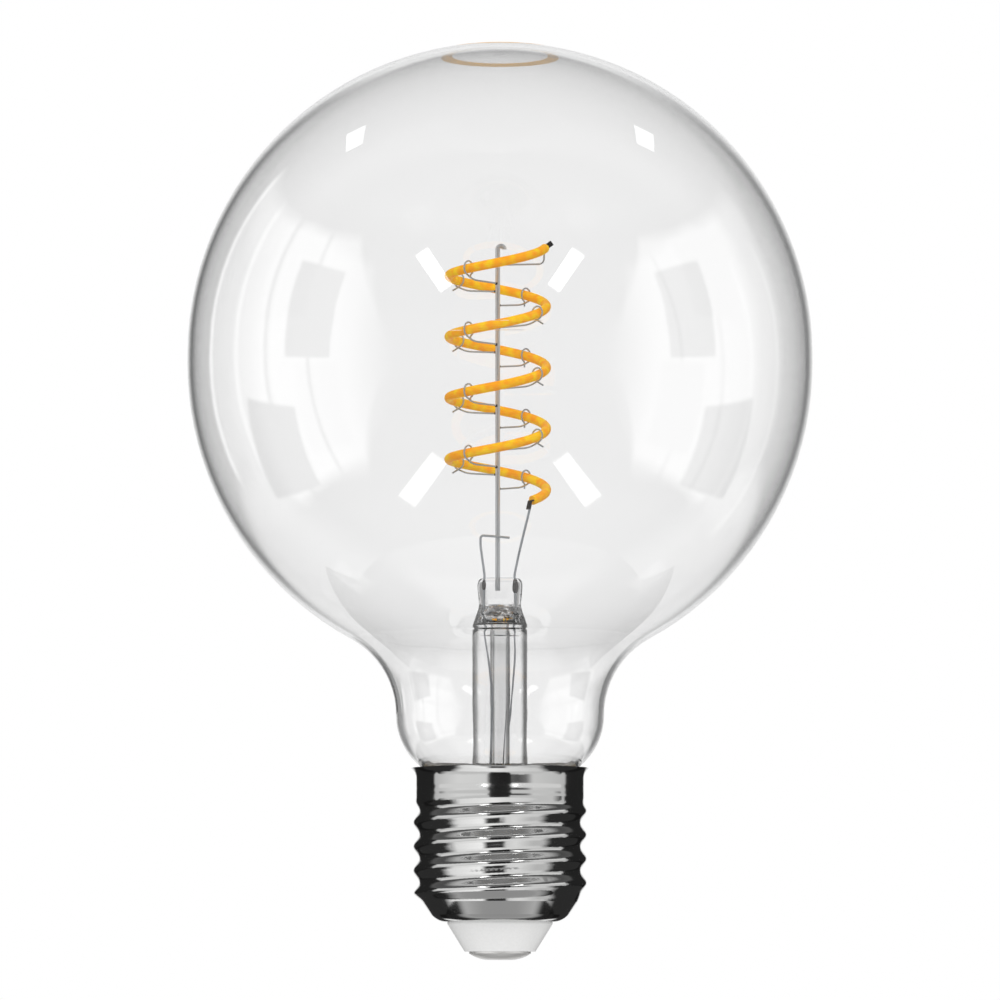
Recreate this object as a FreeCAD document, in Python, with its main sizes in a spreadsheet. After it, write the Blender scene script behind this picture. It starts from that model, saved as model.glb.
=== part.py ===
import FreeCAD, Part
import math
import os
import Sketcher

# Clear globe lamp with a spiral LED filament and a 27 mm screw cap.
# Millimetres, +Z up along the lamp's axis, cap down.
# The origin is the outer face of the centre contact at the very bottom.

SIZES = {
    # blown globe
    "globe_radius": 47.5,
    "globe_stretch": 1.4,
    "glass_wall": 0.7,
    "blend_radius": 13.28,
    "waist_radius": 15.75,
    "shoulder_radius": 10.0,
    "neck_radius": 11.2,
    "neck_length": 11.516,
    "neck_depth": 11.9,
    # glass mount: flare tube, pinched head and exhaust tube
    "stem_radius": 4.15,
    "stem_wall": 0.7,
    "stem_length": 32.9,
    "flare_radius": 6.2,
    "shoulder_rise": 3.0,
    "pinch_length": 4.9,
    "pinch_width": 6.8,
    "pinch_thickness": 2.8,
    "pinch_corner": 1.0,
    "pinch_round": 0.5,
    "exhaust_radius": 1.45,
    "exhaust_wall": 0.35,
    "exhaust_tail": 3.4,
    "exhaust_hole_radius": 0.55,
    "cavity_depth": 1.6,
    # post and leads
    "post_radius": 0.36,
    "post_shift": 0.35,
    "post_foot_depth": 2.0,
    "post_over": 0.1,
    "post_crook_radius": 0.5,
    "lead_radius": 0.18,
    "lead_rise": 6.2,
    "lead_crook_radius": 0.45,
    "lead_toe": 1.8,
    "lead_shoulder": 2.6,
    "lead_slump": 1.4,
    "lead_seal_turn": 1.8,
    "lead_exit_drop": 2.1,
    # spiral filament
    "coil_radius": 7.4,
    "coil_pitch": 9.34,
    "coil_rise": 41.37,
    "coil_lean": 1.2,
    "strand_radius": 0.71,
    "tab_root_length": 0.5,
    "tab_length": 1.3,
    "tab_width": 0.8,
    "tab_thickness": 0.2,
    # support hooks
    "hook_wire_radius": 0.13,
    "hook_drop": 1.9,
    "hook_lean": 0.4,
    "hook_loop_radius": 1.0,
    "hook_twist": 0.18,
    "hook_elbow_setback": 1.37,
    "hook_elbow_drop": 1.62,
    "hook_tail_reach": 0.6,
    "hook_tail_side": 0.75,
    "hook_tail_drop": 1.55,
    "link_drop": 2.3,
    "link_bend_radius": 0.8,
    "link_knee_radius": 0.3,
    "link_setback": 0.1,
    # screw cap
    "cap_wall": 0.3,
    "lip_height": 5.7,
    "lip_radius": 8.0,
    "lip_round": 1.9,
    "cone_radius": 11.7,
    "cone_rise": 3.0,
    "thread_length": 15.7,
    "thread_pitch": 3.629,
    "thread_crest_radius": 13.1,
    "thread_root_radius": 12.2,
    "thread_start_drop": 1.9,
    "collar_radius": 12.7,
    "collar_length": 3.0,
    "rim_radius": 13.45,
    "rim_rise": 1.5,
    # insulator and centre contact
    "insulator_foot_radius": 5.35,
    "insulator_foot_height": 1.25,
    "insulator_shadow_gap": 0.25,
    "insulator_grip": 0.5,
    "insulator_flange_thickness": 1.0,
    "contact_radius": 4.65,
    "contact_flat_radius": 1.6,
    "contact_edge": 0.3,
    "rivet_radius": 1.3,
    "rivet_bore_radius": 0.6,
    "rivet_rise": 0.6,
    # cement and driver
    "cement_rise": 1.2,
    "cement_setback": 1.1,
    "board_radius": 10.9,
    "board_thickness": 1.0,
    "wire_radius": 0.3,
    "shell_wire_reach": 9.0,
    "shell_wire_bend": 0.9,
    "capacitor_radius": 2.6,
    "capacitor_height": 5.0,
    "chip_length": 4.9,
    "chip_width": 3.8,
    "chip_height": 1.5,
    "bridge_length": 4.6,
    "bridge_width": 3.6,
    "bridge_height": 1.6,
    "fuse_radius": 1.0,
    "fuse_length": 4.2,
    "small_part_length": 2.0,
    "small_part_width": 1.25,
    "small_part_height": 0.6,
    # clearances
    "seal_gap": 0.01,
    "weld_gap": 0.01,
    "seat_gap": 0.05,
    "solder_tail": 0.7,
}

HOOK_COUNT = 15
FIRST_HOOK_ANGLE = 234.0
HOOK_STEP_ANGLE = 90.0
STRAND_TOP_ANGLE = 345.0
STRAND_FOOT_ANGLE = -1125.0
STRAND_SECTIONS = 60
STRAND_PATCH_SECTIONS = 4
STRAND_COLUMNS = 8
HOOK_LOOP_CORNERS = (-50.0, -5.0, 40.0, 85.0, 130.0, 175.0, 220.0, 262.0)
SHELL_WIRE_TURNS = 3
THREAD_COLUMNS = 36
THREAD_ROWS_PER_PITCH = 8


class Size:
    """A length with its value and the rule by which it follows from the sheet."""

    def __init__(self, value, rule):
        self.value = value
        self.rule = rule

    def __add__(self, other):
        other = as_size(other)
        return Size(self.value + other.value, f"({self.rule} + {other.rule})")

    def __radd__(self, other):
        return as_size(other) + self

    def __sub__(self, other):
        other = as_size(other)
        return Size(self.value - other.value, f"({self.rule} - {other.rule})")

    def __rsub__(self, other):
        return as_size(other) - self

    def __mul__(self, other):
        other = as_size(other)
        return Size(self.value * other.value, f"({self.rule} * {other.rule})")

    def __rmul__(self, other):
        return as_size(other) * self

    def __truediv__(self, other):
        other = as_size(other)
        return Size(self.value / other.value, f"({self.rule} / {other.rule})")

    def __neg__(self):
        return Size(-self.value, f"(0 - {self.rule})")


def as_size(length):
    """A plain number as a size."""
    if isinstance(length, Size):
        return length
    return Size(float(length), repr(float(length)))


def root(size):
    """The square root of a size."""
    size = as_size(size)
    return Size(math.sqrt(size.value), f"sqrt({size.rule})")


document = FreeCAD.newDocument("globe_lamp")
sheet = document.addObject("Spreadsheet::Sheet", "dims")
for row, (alias, size) in enumerate(SIZES.items(), start=1):
    sheet.set(f"A{row}", alias)
    sheet.set(f"B{row}", str(size))
    sheet.setAlias(f"B{row}", alias)
document.recompute()


def dim(alias):
    """A size read from the sheet and bound to its cell."""
    return Size(float(sheet.get(alias)), f"dims.{alias}")


def number(alias):
    """The plain value of a cell."""
    return float(sheet.get(alias))


def vector(x, y, z):
    return FreeCAD.Vector(x, y, z)


pieces = []


def new_body(label):
    """A body for one piece of the lamp."""
    body = document.addObject("PartDesign::Body", label)
    body.Label = label
    pieces.append(body)
    return body


def new_feature(label, shape):
    """A piece whose shape is worked out in code."""
    feature = document.addObject("Part::Feature", label)
    feature.Label = label
    feature.Shape = shape
    pieces.append(feature)
    return feature


def new_sketch(body, name, role, offset=0.0):
    """A sketch on one of the body's own origin planes, moved along its normal."""
    sketch = body.newObject("Sketcher::SketchObject", name)
    plane = next(f for f in body.Origin.OriginFeatures if f.Role == role)
    sketch.AttachmentSupport = [(plane, "")]
    sketch.MapMode = "FlatFace"
    offset = as_size(offset)
    sketch.AttachmentOffset = FreeCAD.Placement(vector(0, 0, offset.value), FreeCAD.Rotation())
    sketch.setExpression("AttachmentOffset.Base.z", offset.rule)
    return sketch


def bind(sketch, kind, *references, size):
    """A measured constraint that follows its rule."""
    size = as_size(size)
    index = sketch.addConstraint(Sketcher.Constraint(kind, *references, size.value))
    sketch.setExpression(f"Constraints[{index}]", size.rule)


def fix_point(sketch, geometry, end, x, y):
    """Put one end of a line or arc at a place given by two sizes."""
    x = as_size(x)
    y = as_size(y)
    if x.value == 0.0:
        sketch.addConstraint(Sketcher.Constraint("PointOnObject", geometry, end, -2))
    else:
        bind(sketch, "DistanceX", -1, 1, geometry, end, size=x)
    if y.value == 0.0:
        sketch.addConstraint(Sketcher.Constraint("PointOnObject", geometry, end, -1))
    else:
        bind(sketch, "DistanceY", -1, 1, geometry, end, size=y)


def arc_between(start, end, centre, turn):
    """An arc about a centre from start to end; turn is +1 for counterclockwise."""
    cx, cy = (as_size(v).value for v in centre)
    x0, y0 = (as_size(v).value for v in start)
    x1, y1 = (as_size(v).value for v in end)
    first = math.atan2(y0 - cy, x0 - cx)
    last = math.atan2(y1 - cy, x1 - cx)
    if turn < 0:
        first, last = last, first
    if last <= first:
        last += 2.0 * math.pi
    circle = Part.Circle(vector(cx, cy, 0), vector(0, 0, 1), math.hypot(x0 - cx, y0 - cy))
    return Part.ArcOfCircle(circle, first, last)


def draw_outline(sketch, steps):
    """A closed outline. Each step is a corner, and how the line goes on from it to the next:
    (x, y) for a straight line, or (x, y, centre, radius, turn) for an arc."""
    count = len(steps)
    ends = []
    for i, step in enumerate(steps):
        here = step[:2]
        there = steps[(i + 1) % count][:2]
        if len(step) == 2:
            a = vector(as_size(here[0]).value, as_size(here[1]).value, 0)
            b = vector(as_size(there[0]).value, as_size(there[1]).value, 0)
            geometry = sketch.addGeometry(Part.LineSegment(a, b))
            ends.append((geometry, 1, 2))
        else:
            centre, radius, turn = step[2:]
            geometry = sketch.addGeometry(arc_between(here, there, centre, turn))
            ends.append((geometry, 1, 2) if turn > 0 else (geometry, 2, 1))
            bind(sketch, "Radius", geometry, size=radius)
    for i, (geometry, start, _) in enumerate(ends):
        before, _, finish = ends[i - 1]
        sketch.addConstraint(Sketcher.Constraint("Coincident", before, finish, geometry, start))
        fix_point(sketch, geometry, start, *steps[i][:2])


def draw_circle(sketch, x, y, radius):
    """A circle placed and sized by rules."""
    x = as_size(x)
    y = as_size(y)
    radius = as_size(radius)
    circle = Part.Circle(vector(x.value, y.value, 0), vector(0, 0, 1), radius.value)
    geometry = sketch.addGeometry(circle)
    fix_point(sketch, geometry, 3, x, y)
    bind(sketch, "Radius", geometry, size=radius)


def draw_box(sketch, x, y, length, width):
    """A rectangle about a centre."""
    left = x - length / 2
    right = x + length / 2
    front = y - width / 2
    back = y + width / 2
    draw_outline(sketch, [(left, front), (right, front), (right, back), (left, back)])


def revolve(body, name, steps):
    """Turn an outline in the XZ plane about the lamp's axis."""
    sketch = new_sketch(body, f"{name}_outline", "XZ_Plane")
    draw_outline(sketch, steps)
    turned = body.newObject("PartDesign::Revolution", name)
    turned.Profile = sketch
    turned.ReferenceAxis = (sketch, ["V_Axis"])
    turned.Angle = 360
    return turned


def groove(body, name, steps):
    """Cut a turned hollow about the lamp's axis."""
    sketch = new_sketch(body, f"{name}_outline", "XZ_Plane")
    draw_outline(sketch, steps)
    cut = body.newObject("PartDesign::Groove", name)
    cut.Profile = sketch
    cut.ReferenceAxis = (sketch, ["V_Axis"])
    cut.Angle = 360
    return cut


def pad(body, name, sketch, length):
    """Raise a sketch along its normal."""
    raised = body.newObject("PartDesign::Pad", name)
    raised.Profile = sketch
    raised.Length = as_size(length).value
    raised.setExpression("Length", as_size(length).rule)
    return raised


def pocket(body, name, sketch, depth):
    """Cut a sketch down from its plane, against its normal."""
    cut = body.newObject("PartDesign::Pocket", name)
    cut.Profile = sketch
    cut.Length = as_size(depth).value
    cut.setExpression("Length", as_size(depth).rule)
    return cut


def place(piece, x=0.0, y=0.0, z=0.0, turn=0.0):
    """Set a piece down at a point, turned about the vertical by degrees."""
    sizes = [as_size(v) for v in (x, y, z)]
    base = vector(*(size.value for size in sizes))
    piece.Placement = FreeCAD.Placement(base, FreeCAD.Rotation(vector(0, 0, 1), turn))
    for axis, size in zip("xyz", sizes):
        piece.setExpression(f"Placement.Base.{axis}", size.rule)


def rounded_path(points, radii):
    """Straight runs through points, joined by tangent arcs. A corner whose radius is not given
    turns as widely as its two runs allow."""
    edges = []
    here = points[0]
    for i in range(1, len(points) - 1):
        corner = points[i]
        back = points[i - 1] - corner
        on = points[i + 1] - corner
        widest = LEAD_TURN_SHARE * min(back.Length, on.Length)
        back.normalize()
        on.normalize()
        half = back.getAngle(on) / 2.0
        radius = radii.get(i, widest * math.tan(half))
        reach = radius / math.tan(half)
        first = corner + back * reach
        last = corner + on * reach
        middle_way = (back + on).normalize()
        centre = corner + middle_way * (radius / math.sin(half))
        middle = centre - middle_way * radius
        edges.append(Part.LineSegment(here, first).toShape())
        edges.append(Part.Arc(first, middle, last).toShape())
        here = last
    edges.append(Part.LineSegment(here, points[-1]).toShape())
    return Part.Wire(edges)


def swept_round(path, radius):
    """A round bar along a path."""
    edge = path.Edges[0]
    start = edge.valueAt(edge.FirstParameter)
    along = edge.tangentAt(edge.FirstParameter)
    circle = Part.Wire([Part.Circle(start, along, radius).toShape()])
    return path.makePipeShell([circle], True, False)


# Heights that several pieces share, each above the centre contact
THREAD_FOOT = dim("lip_height") + dim("cone_rise")
THREAD_TOP = THREAD_FOOT + dim("thread_length")
COLLAR_TOP = THREAD_TOP + dim("collar_length")
RIM_HEIGHT = COLLAR_TOP + dim("rim_rise")
SEAL_HEIGHT = RIM_HEIGHT - dim("neck_depth")
NECK_TOP = SEAL_HEIGHT + dim("neck_length")
STEM_TOP = SEAL_HEIGHT + dim("stem_length")
CAVITY_TOP = STEM_TOP + dim("cavity_depth")
PINCH_FOOT = STEM_TOP + dim("shoulder_rise")
PINCH_TOP = PINCH_FOOT + dim("pinch_length")
COIL_START = PINCH_TOP + dim("coil_rise")
BOARD_FOOT = THREAD_FOOT + dim("seat_gap")
BOARD_TOP = BOARD_FOOT + dim("board_thickness")
SHELL_BORE = dim("thread_root_radius") - dim("cap_wall")

# Where the leads stand in the pinched head and in the board
LEFT_LEAD = (-dim("pinch_width") * 0.347, -(dim("post_radius") + dim("lead_radius") + dim("weld_gap")))
RIGHT_LEAD = (dim("pinch_width") * 0.3235, as_size(0))
LEFT_LEAD_BOARD = (-dim("board_radius") * 0.367, -dim("board_radius") * 0.422)
RIGHT_LEAD_BOARD = (dim("board_radius") * 0.092, dim("board_radius") * 0.587)

# The leads' way down the flare tube: x and y as shares of the bore, height as a share of the stem
LEFT_LEAD_ROUTE = ((-0.49, -0.46, 0.87), (-0.32, -0.61, 0.72), (-0.38, -0.64, 0.41), (-0.52, -0.70, 0.14))
RIGHT_LEAD_ROUTE = ((0.72, 0.26, 0.90), (0.55, 0.55, 0.68), (0.19, 0.68, 0.41), (0.20, 0.72, 0.14))
LEAD_TURN_SHARE = 0.45

# The right lead's bow above the pinched head: x and y as shares of its weld's place, height of the drop
RIGHT_LEAD_BOW = ((0.75, 0.55, 0.55), (0.62, 0.17, 0.30))

# How far along the bent leaf of an end tab its wire is welded, and where the wire leaves it
LINK_WELD_SHARE = 0.9
LINK_CLEAR_SHARE = -0.1
LEAD_WELD_SHARE = 0.3
LEAD_CLEAR_SHARE = 1.3
TAB_BEND = math.radians(55.0)
UPPER_TAB_AIM = (0.8, 0.0, 0.6)
LOWER_TAB_AIM = (0.0, 0.0, -1.0)

# Where the parts stand on the board, as shares of its radius, and how they are turned
CAPACITOR_PLACE = (0.514, -0.239)
RESISTOR_PLACE = (-0.661, 0.404)
CHIP_PLACES = (
    ("bridge_rectifier", -0.376, -0.046, "bridge", 0.0),
    ("driver_chip", 0.239, 0.312, "chip", 0.0),
    ("sense_resistor_1", -0.083, -0.477, "small_part", 90.0),
    ("sense_resistor_2", 0.092, -0.477, "small_part", 90.0),
    ("chip_capacitor", -0.239, 0.495, "small_part", 0.0),
)

# Shares of a turn or a height over which the thread fades out, and how the lip's rounding runs
THREAD_FADE_ABOVE = 0.45
THREAD_FADE_BELOW = 0.35
RIM_FLARE_START = 0.45
LIP_SHOULDER_RISE = 0.55
LIP_SHOULDER_REACH = 0.25
LIP_EDGE_REACH = -0.3


def build_globe():
    """The blown globe with its neck; the neck's foot is sealed on the flare."""
    body = new_body("glass_globe")
    radius = dim("globe_radius")
    wall = dim("glass_wall")
    neck = dim("neck_radius")
    shoulder = dim("shoulder_radius")
    waist = dim("waist_radius")
    shoulder_x = waist - shoulder
    neck_reach = neck - shoulder_x
    waist_height = NECK_TOP + root(shoulder * shoulder - neck_reach * neck_reach)
    # the hollow blend touches the shoulder at the waist and the sphere above
    blend = dim("blend_radius")
    blend_x = waist + blend
    span = radius + blend
    rise = root(span * span - blend_x * blend_x)
    low = waist_height + rise
    high = low + dim("globe_stretch")

    def touch(skin_radius):
        share = skin_radius / span
        return blend_x * share, low - rise * share

    outer_touch = touch(radius)
    inner = radius - wall
    inner_touch = touch(inner)
    inner_neck = neck - wall
    inner_shoulder = shoulder - wall
    inner_reach = inner_neck - shoulder_x
    inner_neck_top = waist_height - root(inner_shoulder * inner_shoulder - inner_reach * inner_reach)
    revolve(body, "blown_glass", [
        (neck, SEAL_HEIGHT),
        (neck, NECK_TOP, (shoulder_x, waist_height), shoulder, 1),
        (waist, waist_height, (blend_x, waist_height), blend, -1),
        (*outer_touch, (as_size(0), low), radius, 1),
        (radius, low),
        (radius, high, (as_size(0), high), radius, 1),
        (as_size(0), high + radius),
        (as_size(0), high + inner, (as_size(0), high), inner, -1),
        (inner, high),
        (inner, low, (as_size(0), low), inner, -1),
        (*inner_touch, (blend_x, waist_height), blend + wall, 1),
        (waist - wall, waist_height, (shoulder_x, waist_height), inner_shoulder, -1),
        (inner_neck, inner_neck_top),
        (inner_neck, SEAL_HEIGHT),
    ])


def build_stem():
    """The glass mount: flare, tube and pinched head with its wire seals."""
    body = new_body("stem_flare")
    tube = dim("stem_radius")
    wall = dim("stem_wall")
    bore = tube - wall
    flare = dim("flare_radius")
    seal = SEAL_HEIGHT
    bend = (tube + flare, seal + flare)
    neck = dim("neck_radius")
    top = STEM_TOP
    flange_foot = seal - wall
    revolve(body, "flare_and_tube", [
        (tube + flare, flange_foot),
        (neck, flange_foot),
        (neck, seal),
        (tube + flare, seal, bend, flare, -1),
        (tube, seal + flare),
        (tube, top),
        (bore, top),
        (bore, seal + flare, bend, flare + wall, 1),
    ])

    width = dim("pinch_width") / 2
    thick = dim("pinch_thickness") / 2
    corner = dim("pinch_corner")
    round_box = [
        (-width + corner, -thick),
        (width - corner, -thick, (width - corner, -thick + corner), corner, 1),
        (width, -thick + corner),
        (width, thick - corner, (width - corner, thick - corner), corner, 1),
        (width - corner, thick),
        (-width + corner, thick, (-width + corner, thick - corner), corner, 1),
        (-width, thick - corner),
        (-width, -thick + corner, (-width + corner, -thick + corner), corner, 1),
    ]
    shoulder_ring = new_sketch(body, "shoulder_ring", "XY_Plane", top)
    draw_circle(shoulder_ring, 0, 0, tube)
    pinch_foot = new_sketch(body, "pinch_foot", "XY_Plane", PINCH_FOOT)
    draw_outline(pinch_foot, round_box)
    shoulder = body.newObject("PartDesign::AdditiveLoft", "shoulder")
    shoulder.Profile = shoulder_ring
    shoulder.Sections = [pinch_foot]
    shoulder.Ruled = True
    pinch_outline = new_sketch(body, "pinch_outline", "XY_Plane", PINCH_FOOT)
    draw_outline(pinch_outline, round_box)
    head = pad(body, "pinched_head", pinch_outline, dim("pinch_length"))
    document.recompute()
    edges = [
        f"Edge{i}"
        for i, edge in enumerate(head.Shape.Edges, start=1)
        if edge.BoundBox.ZMin > PINCH_TOP.value - 1e-6
    ]
    softened = body.newObject("PartDesign::Fillet", "softened_top")
    softened.Base = (head, edges)
    softened.Radius = number("pinch_round")
    softened.setExpression("Radius", "dims.pinch_round")
    softened.UseAllEdges = False

    cavity_width = dim("exhaust_radius") + dim("seat_gap") + dim("seal_gap")
    groove(body, "cavity", [
        (as_size(0), top),
        (bore, top),
        (cavity_width, CAVITY_TOP),
        (as_size(0), CAVITY_TOP),
    ])
    holes = new_sketch(body, "lead_seals", "XY_Plane", PINCH_TOP)
    clear = dim("lead_radius") + dim("seal_gap")
    draw_circle(holes, *LEFT_LEAD, clear)
    draw_circle(holes, *RIGHT_LEAD, clear)
    pocket(body, "lead_seal_holes", holes, PINCH_TOP - top)
    post_hole = new_sketch(body, "post_seal", "XY_Plane", PINCH_TOP)
    draw_circle(post_hole, -dim("post_shift"), 0, dim("post_radius") + dim("seal_gap"))
    pocket(body, "post_seal_hole", post_hole, dim("post_foot_depth") + dim("seal_gap"))
    # the way out for the air: up from the cavity, then out of the front
    riser_top = PINCH_FOOT + dim("exhaust_hole_radius")
    riser = new_sketch(body, "air_riser", "XY_Plane", riser_top)
    draw_circle(riser, 0, 0, dim("exhaust_radius") - dim("exhaust_wall"))
    pocket(body, "air_riser_hole", riser, riser_top - CAVITY_TOP)
    vent = new_sketch(body, "air_vent", "XZ_Plane", 0)
    draw_circle(vent, 0, PINCH_FOOT, dim("exhaust_hole_radius"))
    out = pocket(body, "air_vent_hole", vent, dim("pinch_thickness"))
    out.Reversed = True


def build_exhaust_tube():
    """The thin tube from the pinched head down to its melted tip."""
    body = new_body("exhaust_tube")
    radius = dim("exhaust_radius")
    bore = radius - dim("exhaust_wall")
    tip = SEAL_HEIGHT - dim("exhaust_tail")
    top = CAVITY_TOP - dim("seal_gap")
    revolve(body, "tube_with_tip", [
        (as_size(0), tip, (as_size(0), tip + radius), radius, 1),
        (radius, tip + radius),
        (radius, top),
        (bore, top),
        (bore, tip + radius, (as_size(0), tip + radius), bore, -1),
        (as_size(0), tip + radius - bore),
    ])


def pipe(body, name, path, profile):
    """Sweep a profile sketch along a path sketch."""
    swept = body.newObject("PartDesign::AdditivePipe", name)
    swept.Profile = profile
    swept.Spine = (path, [])
    return swept


def build_post():
    """The metal post in the pinched head, bent over at its top."""
    body = new_body("centre_rod")
    foot = PINCH_TOP - dim("post_foot_depth")
    top = strand_height(STRAND_TOP_ANGLE) + dim("post_over")
    crook = dim("post_crook_radius")
    path = new_sketch(body, "post_line", "XZ_Plane")
    line = path.addGeometry(Part.LineSegment(vector(0, foot.value, 0), vector(0, top.value, 0)))
    arc = path.addGeometry(arc_between(
        (crook * 2, top), (as_size(0), top), (crook, top), 1))
    fix_point(path, line, 1, 0, foot)
    fix_point(path, line, 2, 0, top)
    path.addConstraint(Sketcher.Constraint("Tangent", line, 2, arc, 2))
    bind(path, "Radius", arc, size=crook)
    bind(path, "DistanceY", -1, 1, arc, 1, size=top)
    section = new_sketch(body, "post_section", "XY_Plane", foot)
    draw_circle(section, 0, 0, dim("post_radius"))
    pipe(body, "post", path, section)
    place(body, x=-dim("post_shift"))


def strand_height(angle):
    """Height of the strand's centre where it passes an angle, as a size."""
    lean = math.sin(math.radians(angle))
    return COIL_START + dim("coil_pitch") * (angle / 360.0) + dim("coil_lean") * lean


def strand_section(angle):
    """Centre of the strand at an angle, and the two directions that its round section lies in."""
    turn = math.radians(angle)
    out = vector(math.cos(turn), math.sin(turn), 0)
    radius = number("coil_radius")
    centre = out * radius + vector(-number("post_shift"), 0, strand_height(angle).value)
    climb = number("coil_pitch") / (2.0 * math.pi) + number("coil_lean") * math.cos(turn)
    along = vector(-radius * math.sin(turn), radius * math.cos(turn), climb)
    up = along.cross(out).normalize() * -1.0
    return centre, out, up


def build_filament():
    """The LED strand in its phosphor jacket: a spiral whose turns lean forward a little. Its skin
    is one smooth tube, laid down in lengths. Returns the strand's centre line."""
    span = STRAND_TOP_ANGLE - STRAND_FOOT_ANGLE
    angles = [STRAND_FOOT_ANGLE + span * i / STRAND_SECTIONS for i in range(STRAND_SECTIONS + 1)]
    sections = [strand_section(angle) for angle in angles]
    line = interpolated([centre for centre, _, _ in sections])
    step = 2.0 * math.pi / STRAND_COLUMNS
    reach = number("strand_radius") / ring_shrink(step)
    lines = []
    for c in range(STRAND_COLUMNS):
        across = reach * math.cos(step * c)
        above = reach * math.sin(step * c)
        lines.append(interpolated([p + out * across + up * above for p, out, up in sections]))
    jacket = Part.BSplineSurface()
    jacket.buildFromPolesMultsKnots(
        [one.getPoles() for one in lines],
        [1] * (STRAND_COLUMNS + 1), lines[0].getMultiplicities(),
        [float(k) for k in range(STRAND_COLUMNS + 1)], lines[0].getKnots(),
        True, False, 3, 3)
    skins = []
    for first in range(0, STRAND_SECTIONS, STRAND_PATCH_SECTIONS):
        patch = jacket.copy()
        last = min(first + STRAND_PATCH_SECTIONS, STRAND_SECTIONS)
        patch.segment(0.0, float(STRAND_COLUMNS), float(first), float(last))
        skins.append(patch.toShape())
    ends = [end_cap(skins[0], sections[0][0]), end_cap(skins[-1], sections[-1][0])]
    new_feature("led_filament", sewn_solid(skins + ends))
    return line


def end_cap(skin, centre):
    """A flat face on the closed edge of a tube that runs around a point."""
    rings = [edge for edge in skin.Edges if edge.isClosed()]
    ring = min(rings, key=lambda edge: (edge.CenterOfMass - centre).Length)
    return Part.Face(Part.Wire([ring]))


def interpolated(points):
    """A smooth line through points, which its parameter counts."""
    line = Part.BSplineCurve()
    line.interpolate(Points=points, Parameters=[float(i) for i in range(len(points))])
    return line


def ring_shrink(step):
    """How far inside its poles an even cubic ring runs, from the angle between two poles."""
    return (2.0 + math.cos(step)) / 3.0


def sewn_solid(faces):
    """One solid from faces that meet at their edges."""
    shell = Part.makeShell(faces)
    shell.sewShape()
    solid = Part.makeSolid(shell)
    if solid.Volume < 0:
        solid.reverse()
    return solid


def hook_points(fall):
    """A support hook's corners in its own frame: outward, along the strand, up. The arm leaves
    the post, rises at its elbow, goes round the strand's outer side, over its top and down
    its inner side, and ends in a short tail beside the arm."""
    coil = number("coil_radius")
    loop = number("hook_loop_radius")
    twist = number("hook_twist")
    # the strand rests on the loop's lowest part
    rest = number("strand_radius") + number("hook_wire_radius") + number("seat_gap")
    middle = loop - rest
    corner_reach = loop / math.cos(math.radians(HOOK_LOOP_CORNERS[1] - HOOK_LOOP_CORNERS[0]) / 2.0)
    points = [
        vector(number("post_radius") + number("seat_gap"), 0, -fall),
        vector(coil - number("hook_elbow_setback"), -twist, -number("hook_elbow_drop")),
    ]
    opening = HOOK_LOOP_CORNERS[0]
    span = HOOK_LOOP_CORNERS[-1] - opening
    for corner in HOOK_LOOP_CORNERS:
        turn = math.radians(corner)
        side = twist * (2.0 * (corner - opening) / span - 1.0)
        out = coil + corner_reach * math.cos(turn)
        points.append(vector(out, side, middle + corner_reach * math.sin(turn)))
    tail = vector(coil + number("hook_tail_reach"), number("hook_tail_side"), -number("hook_tail_drop"))
    return points + [tail]


def build_hooks():
    """The wires on the post that hold the strand in open loops."""
    for i in range(HOOK_COUNT):
        angle = FIRST_HOOK_ANGLE - HOOK_STEP_ANGLE * i
        fall = number("hook_drop") + number("hook_lean") * math.sin(math.radians(angle))
        bar = swept_round(rounded_path(hook_points(fall), {}), number("hook_wire_radius"))
        hook = new_feature(f"support_hook_{i + 1:02d}", bar)
        place(hook, x=-dim("post_shift"), z=strand_height(angle), turn=angle)


class TabFrame:
    """Where an end tab of the strand starts, which way it goes and how it bends."""

    def __init__(self, line, parameter, sign, aim):
        self.root = line.value(parameter) + line.tangent(parameter)[0] * sign * number("weld_gap")
        self.along = line.tangent(parameter)[0] * sign
        sideways = aim - self.along * aim.dot(self.along)
        self.aside = sideways.normalize()
        self.across = self.along.cross(self.aside)
        self.leaf = self.along * math.cos(TAB_BEND) + self.aside * math.sin(TAB_BEND)
        self.face = self.along * -math.sin(TAB_BEND) + self.aside * math.cos(TAB_BEND)
        self.knee = self.root + self.along * number("tab_root_length")

    def beside(self, share, wire_radius, side):
        """A point on a wire that lies along the bent leaf, welded to one of its faces."""
        away = number("tab_thickness") / 2 + wire_radius + number("weld_gap")
        return self.knee + self.leaf * number("tab_length") * share + self.face * away * side


def build_tab(label, frame):
    """One metal end tab: a short root along the strand, then a bent leaf."""
    body = new_body(label)
    half = dim("tab_thickness") / 2
    root_length = dim("tab_root_length")
    leaf = dim("tab_length")
    cosine = math.cos(TAB_BEND)
    sine = math.sin(TAB_BEND)
    fold = math.tan(TAB_BEND / 2.0)
    outline = new_sketch(body, f"{label}_outline", "XY_Plane", -dim("tab_width") / 2)
    draw_outline(outline, [
        (as_size(0), -half),
        (root_length + half * fold, -half),
        (root_length + leaf * cosine + half * sine, leaf * sine - half * cosine),
        (root_length + leaf * cosine - half * sine, leaf * sine + half * cosine),
        (root_length - half * fold, half),
        (as_size(0), half),
    ])
    pad(body, f"{label}_leaf", outline, dim("tab_width"))
    turn = FreeCAD.Rotation(frame.along, frame.aside, frame.across, "XYZ")
    body.Placement = FreeCAD.Placement(frame.root, turn)


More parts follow.
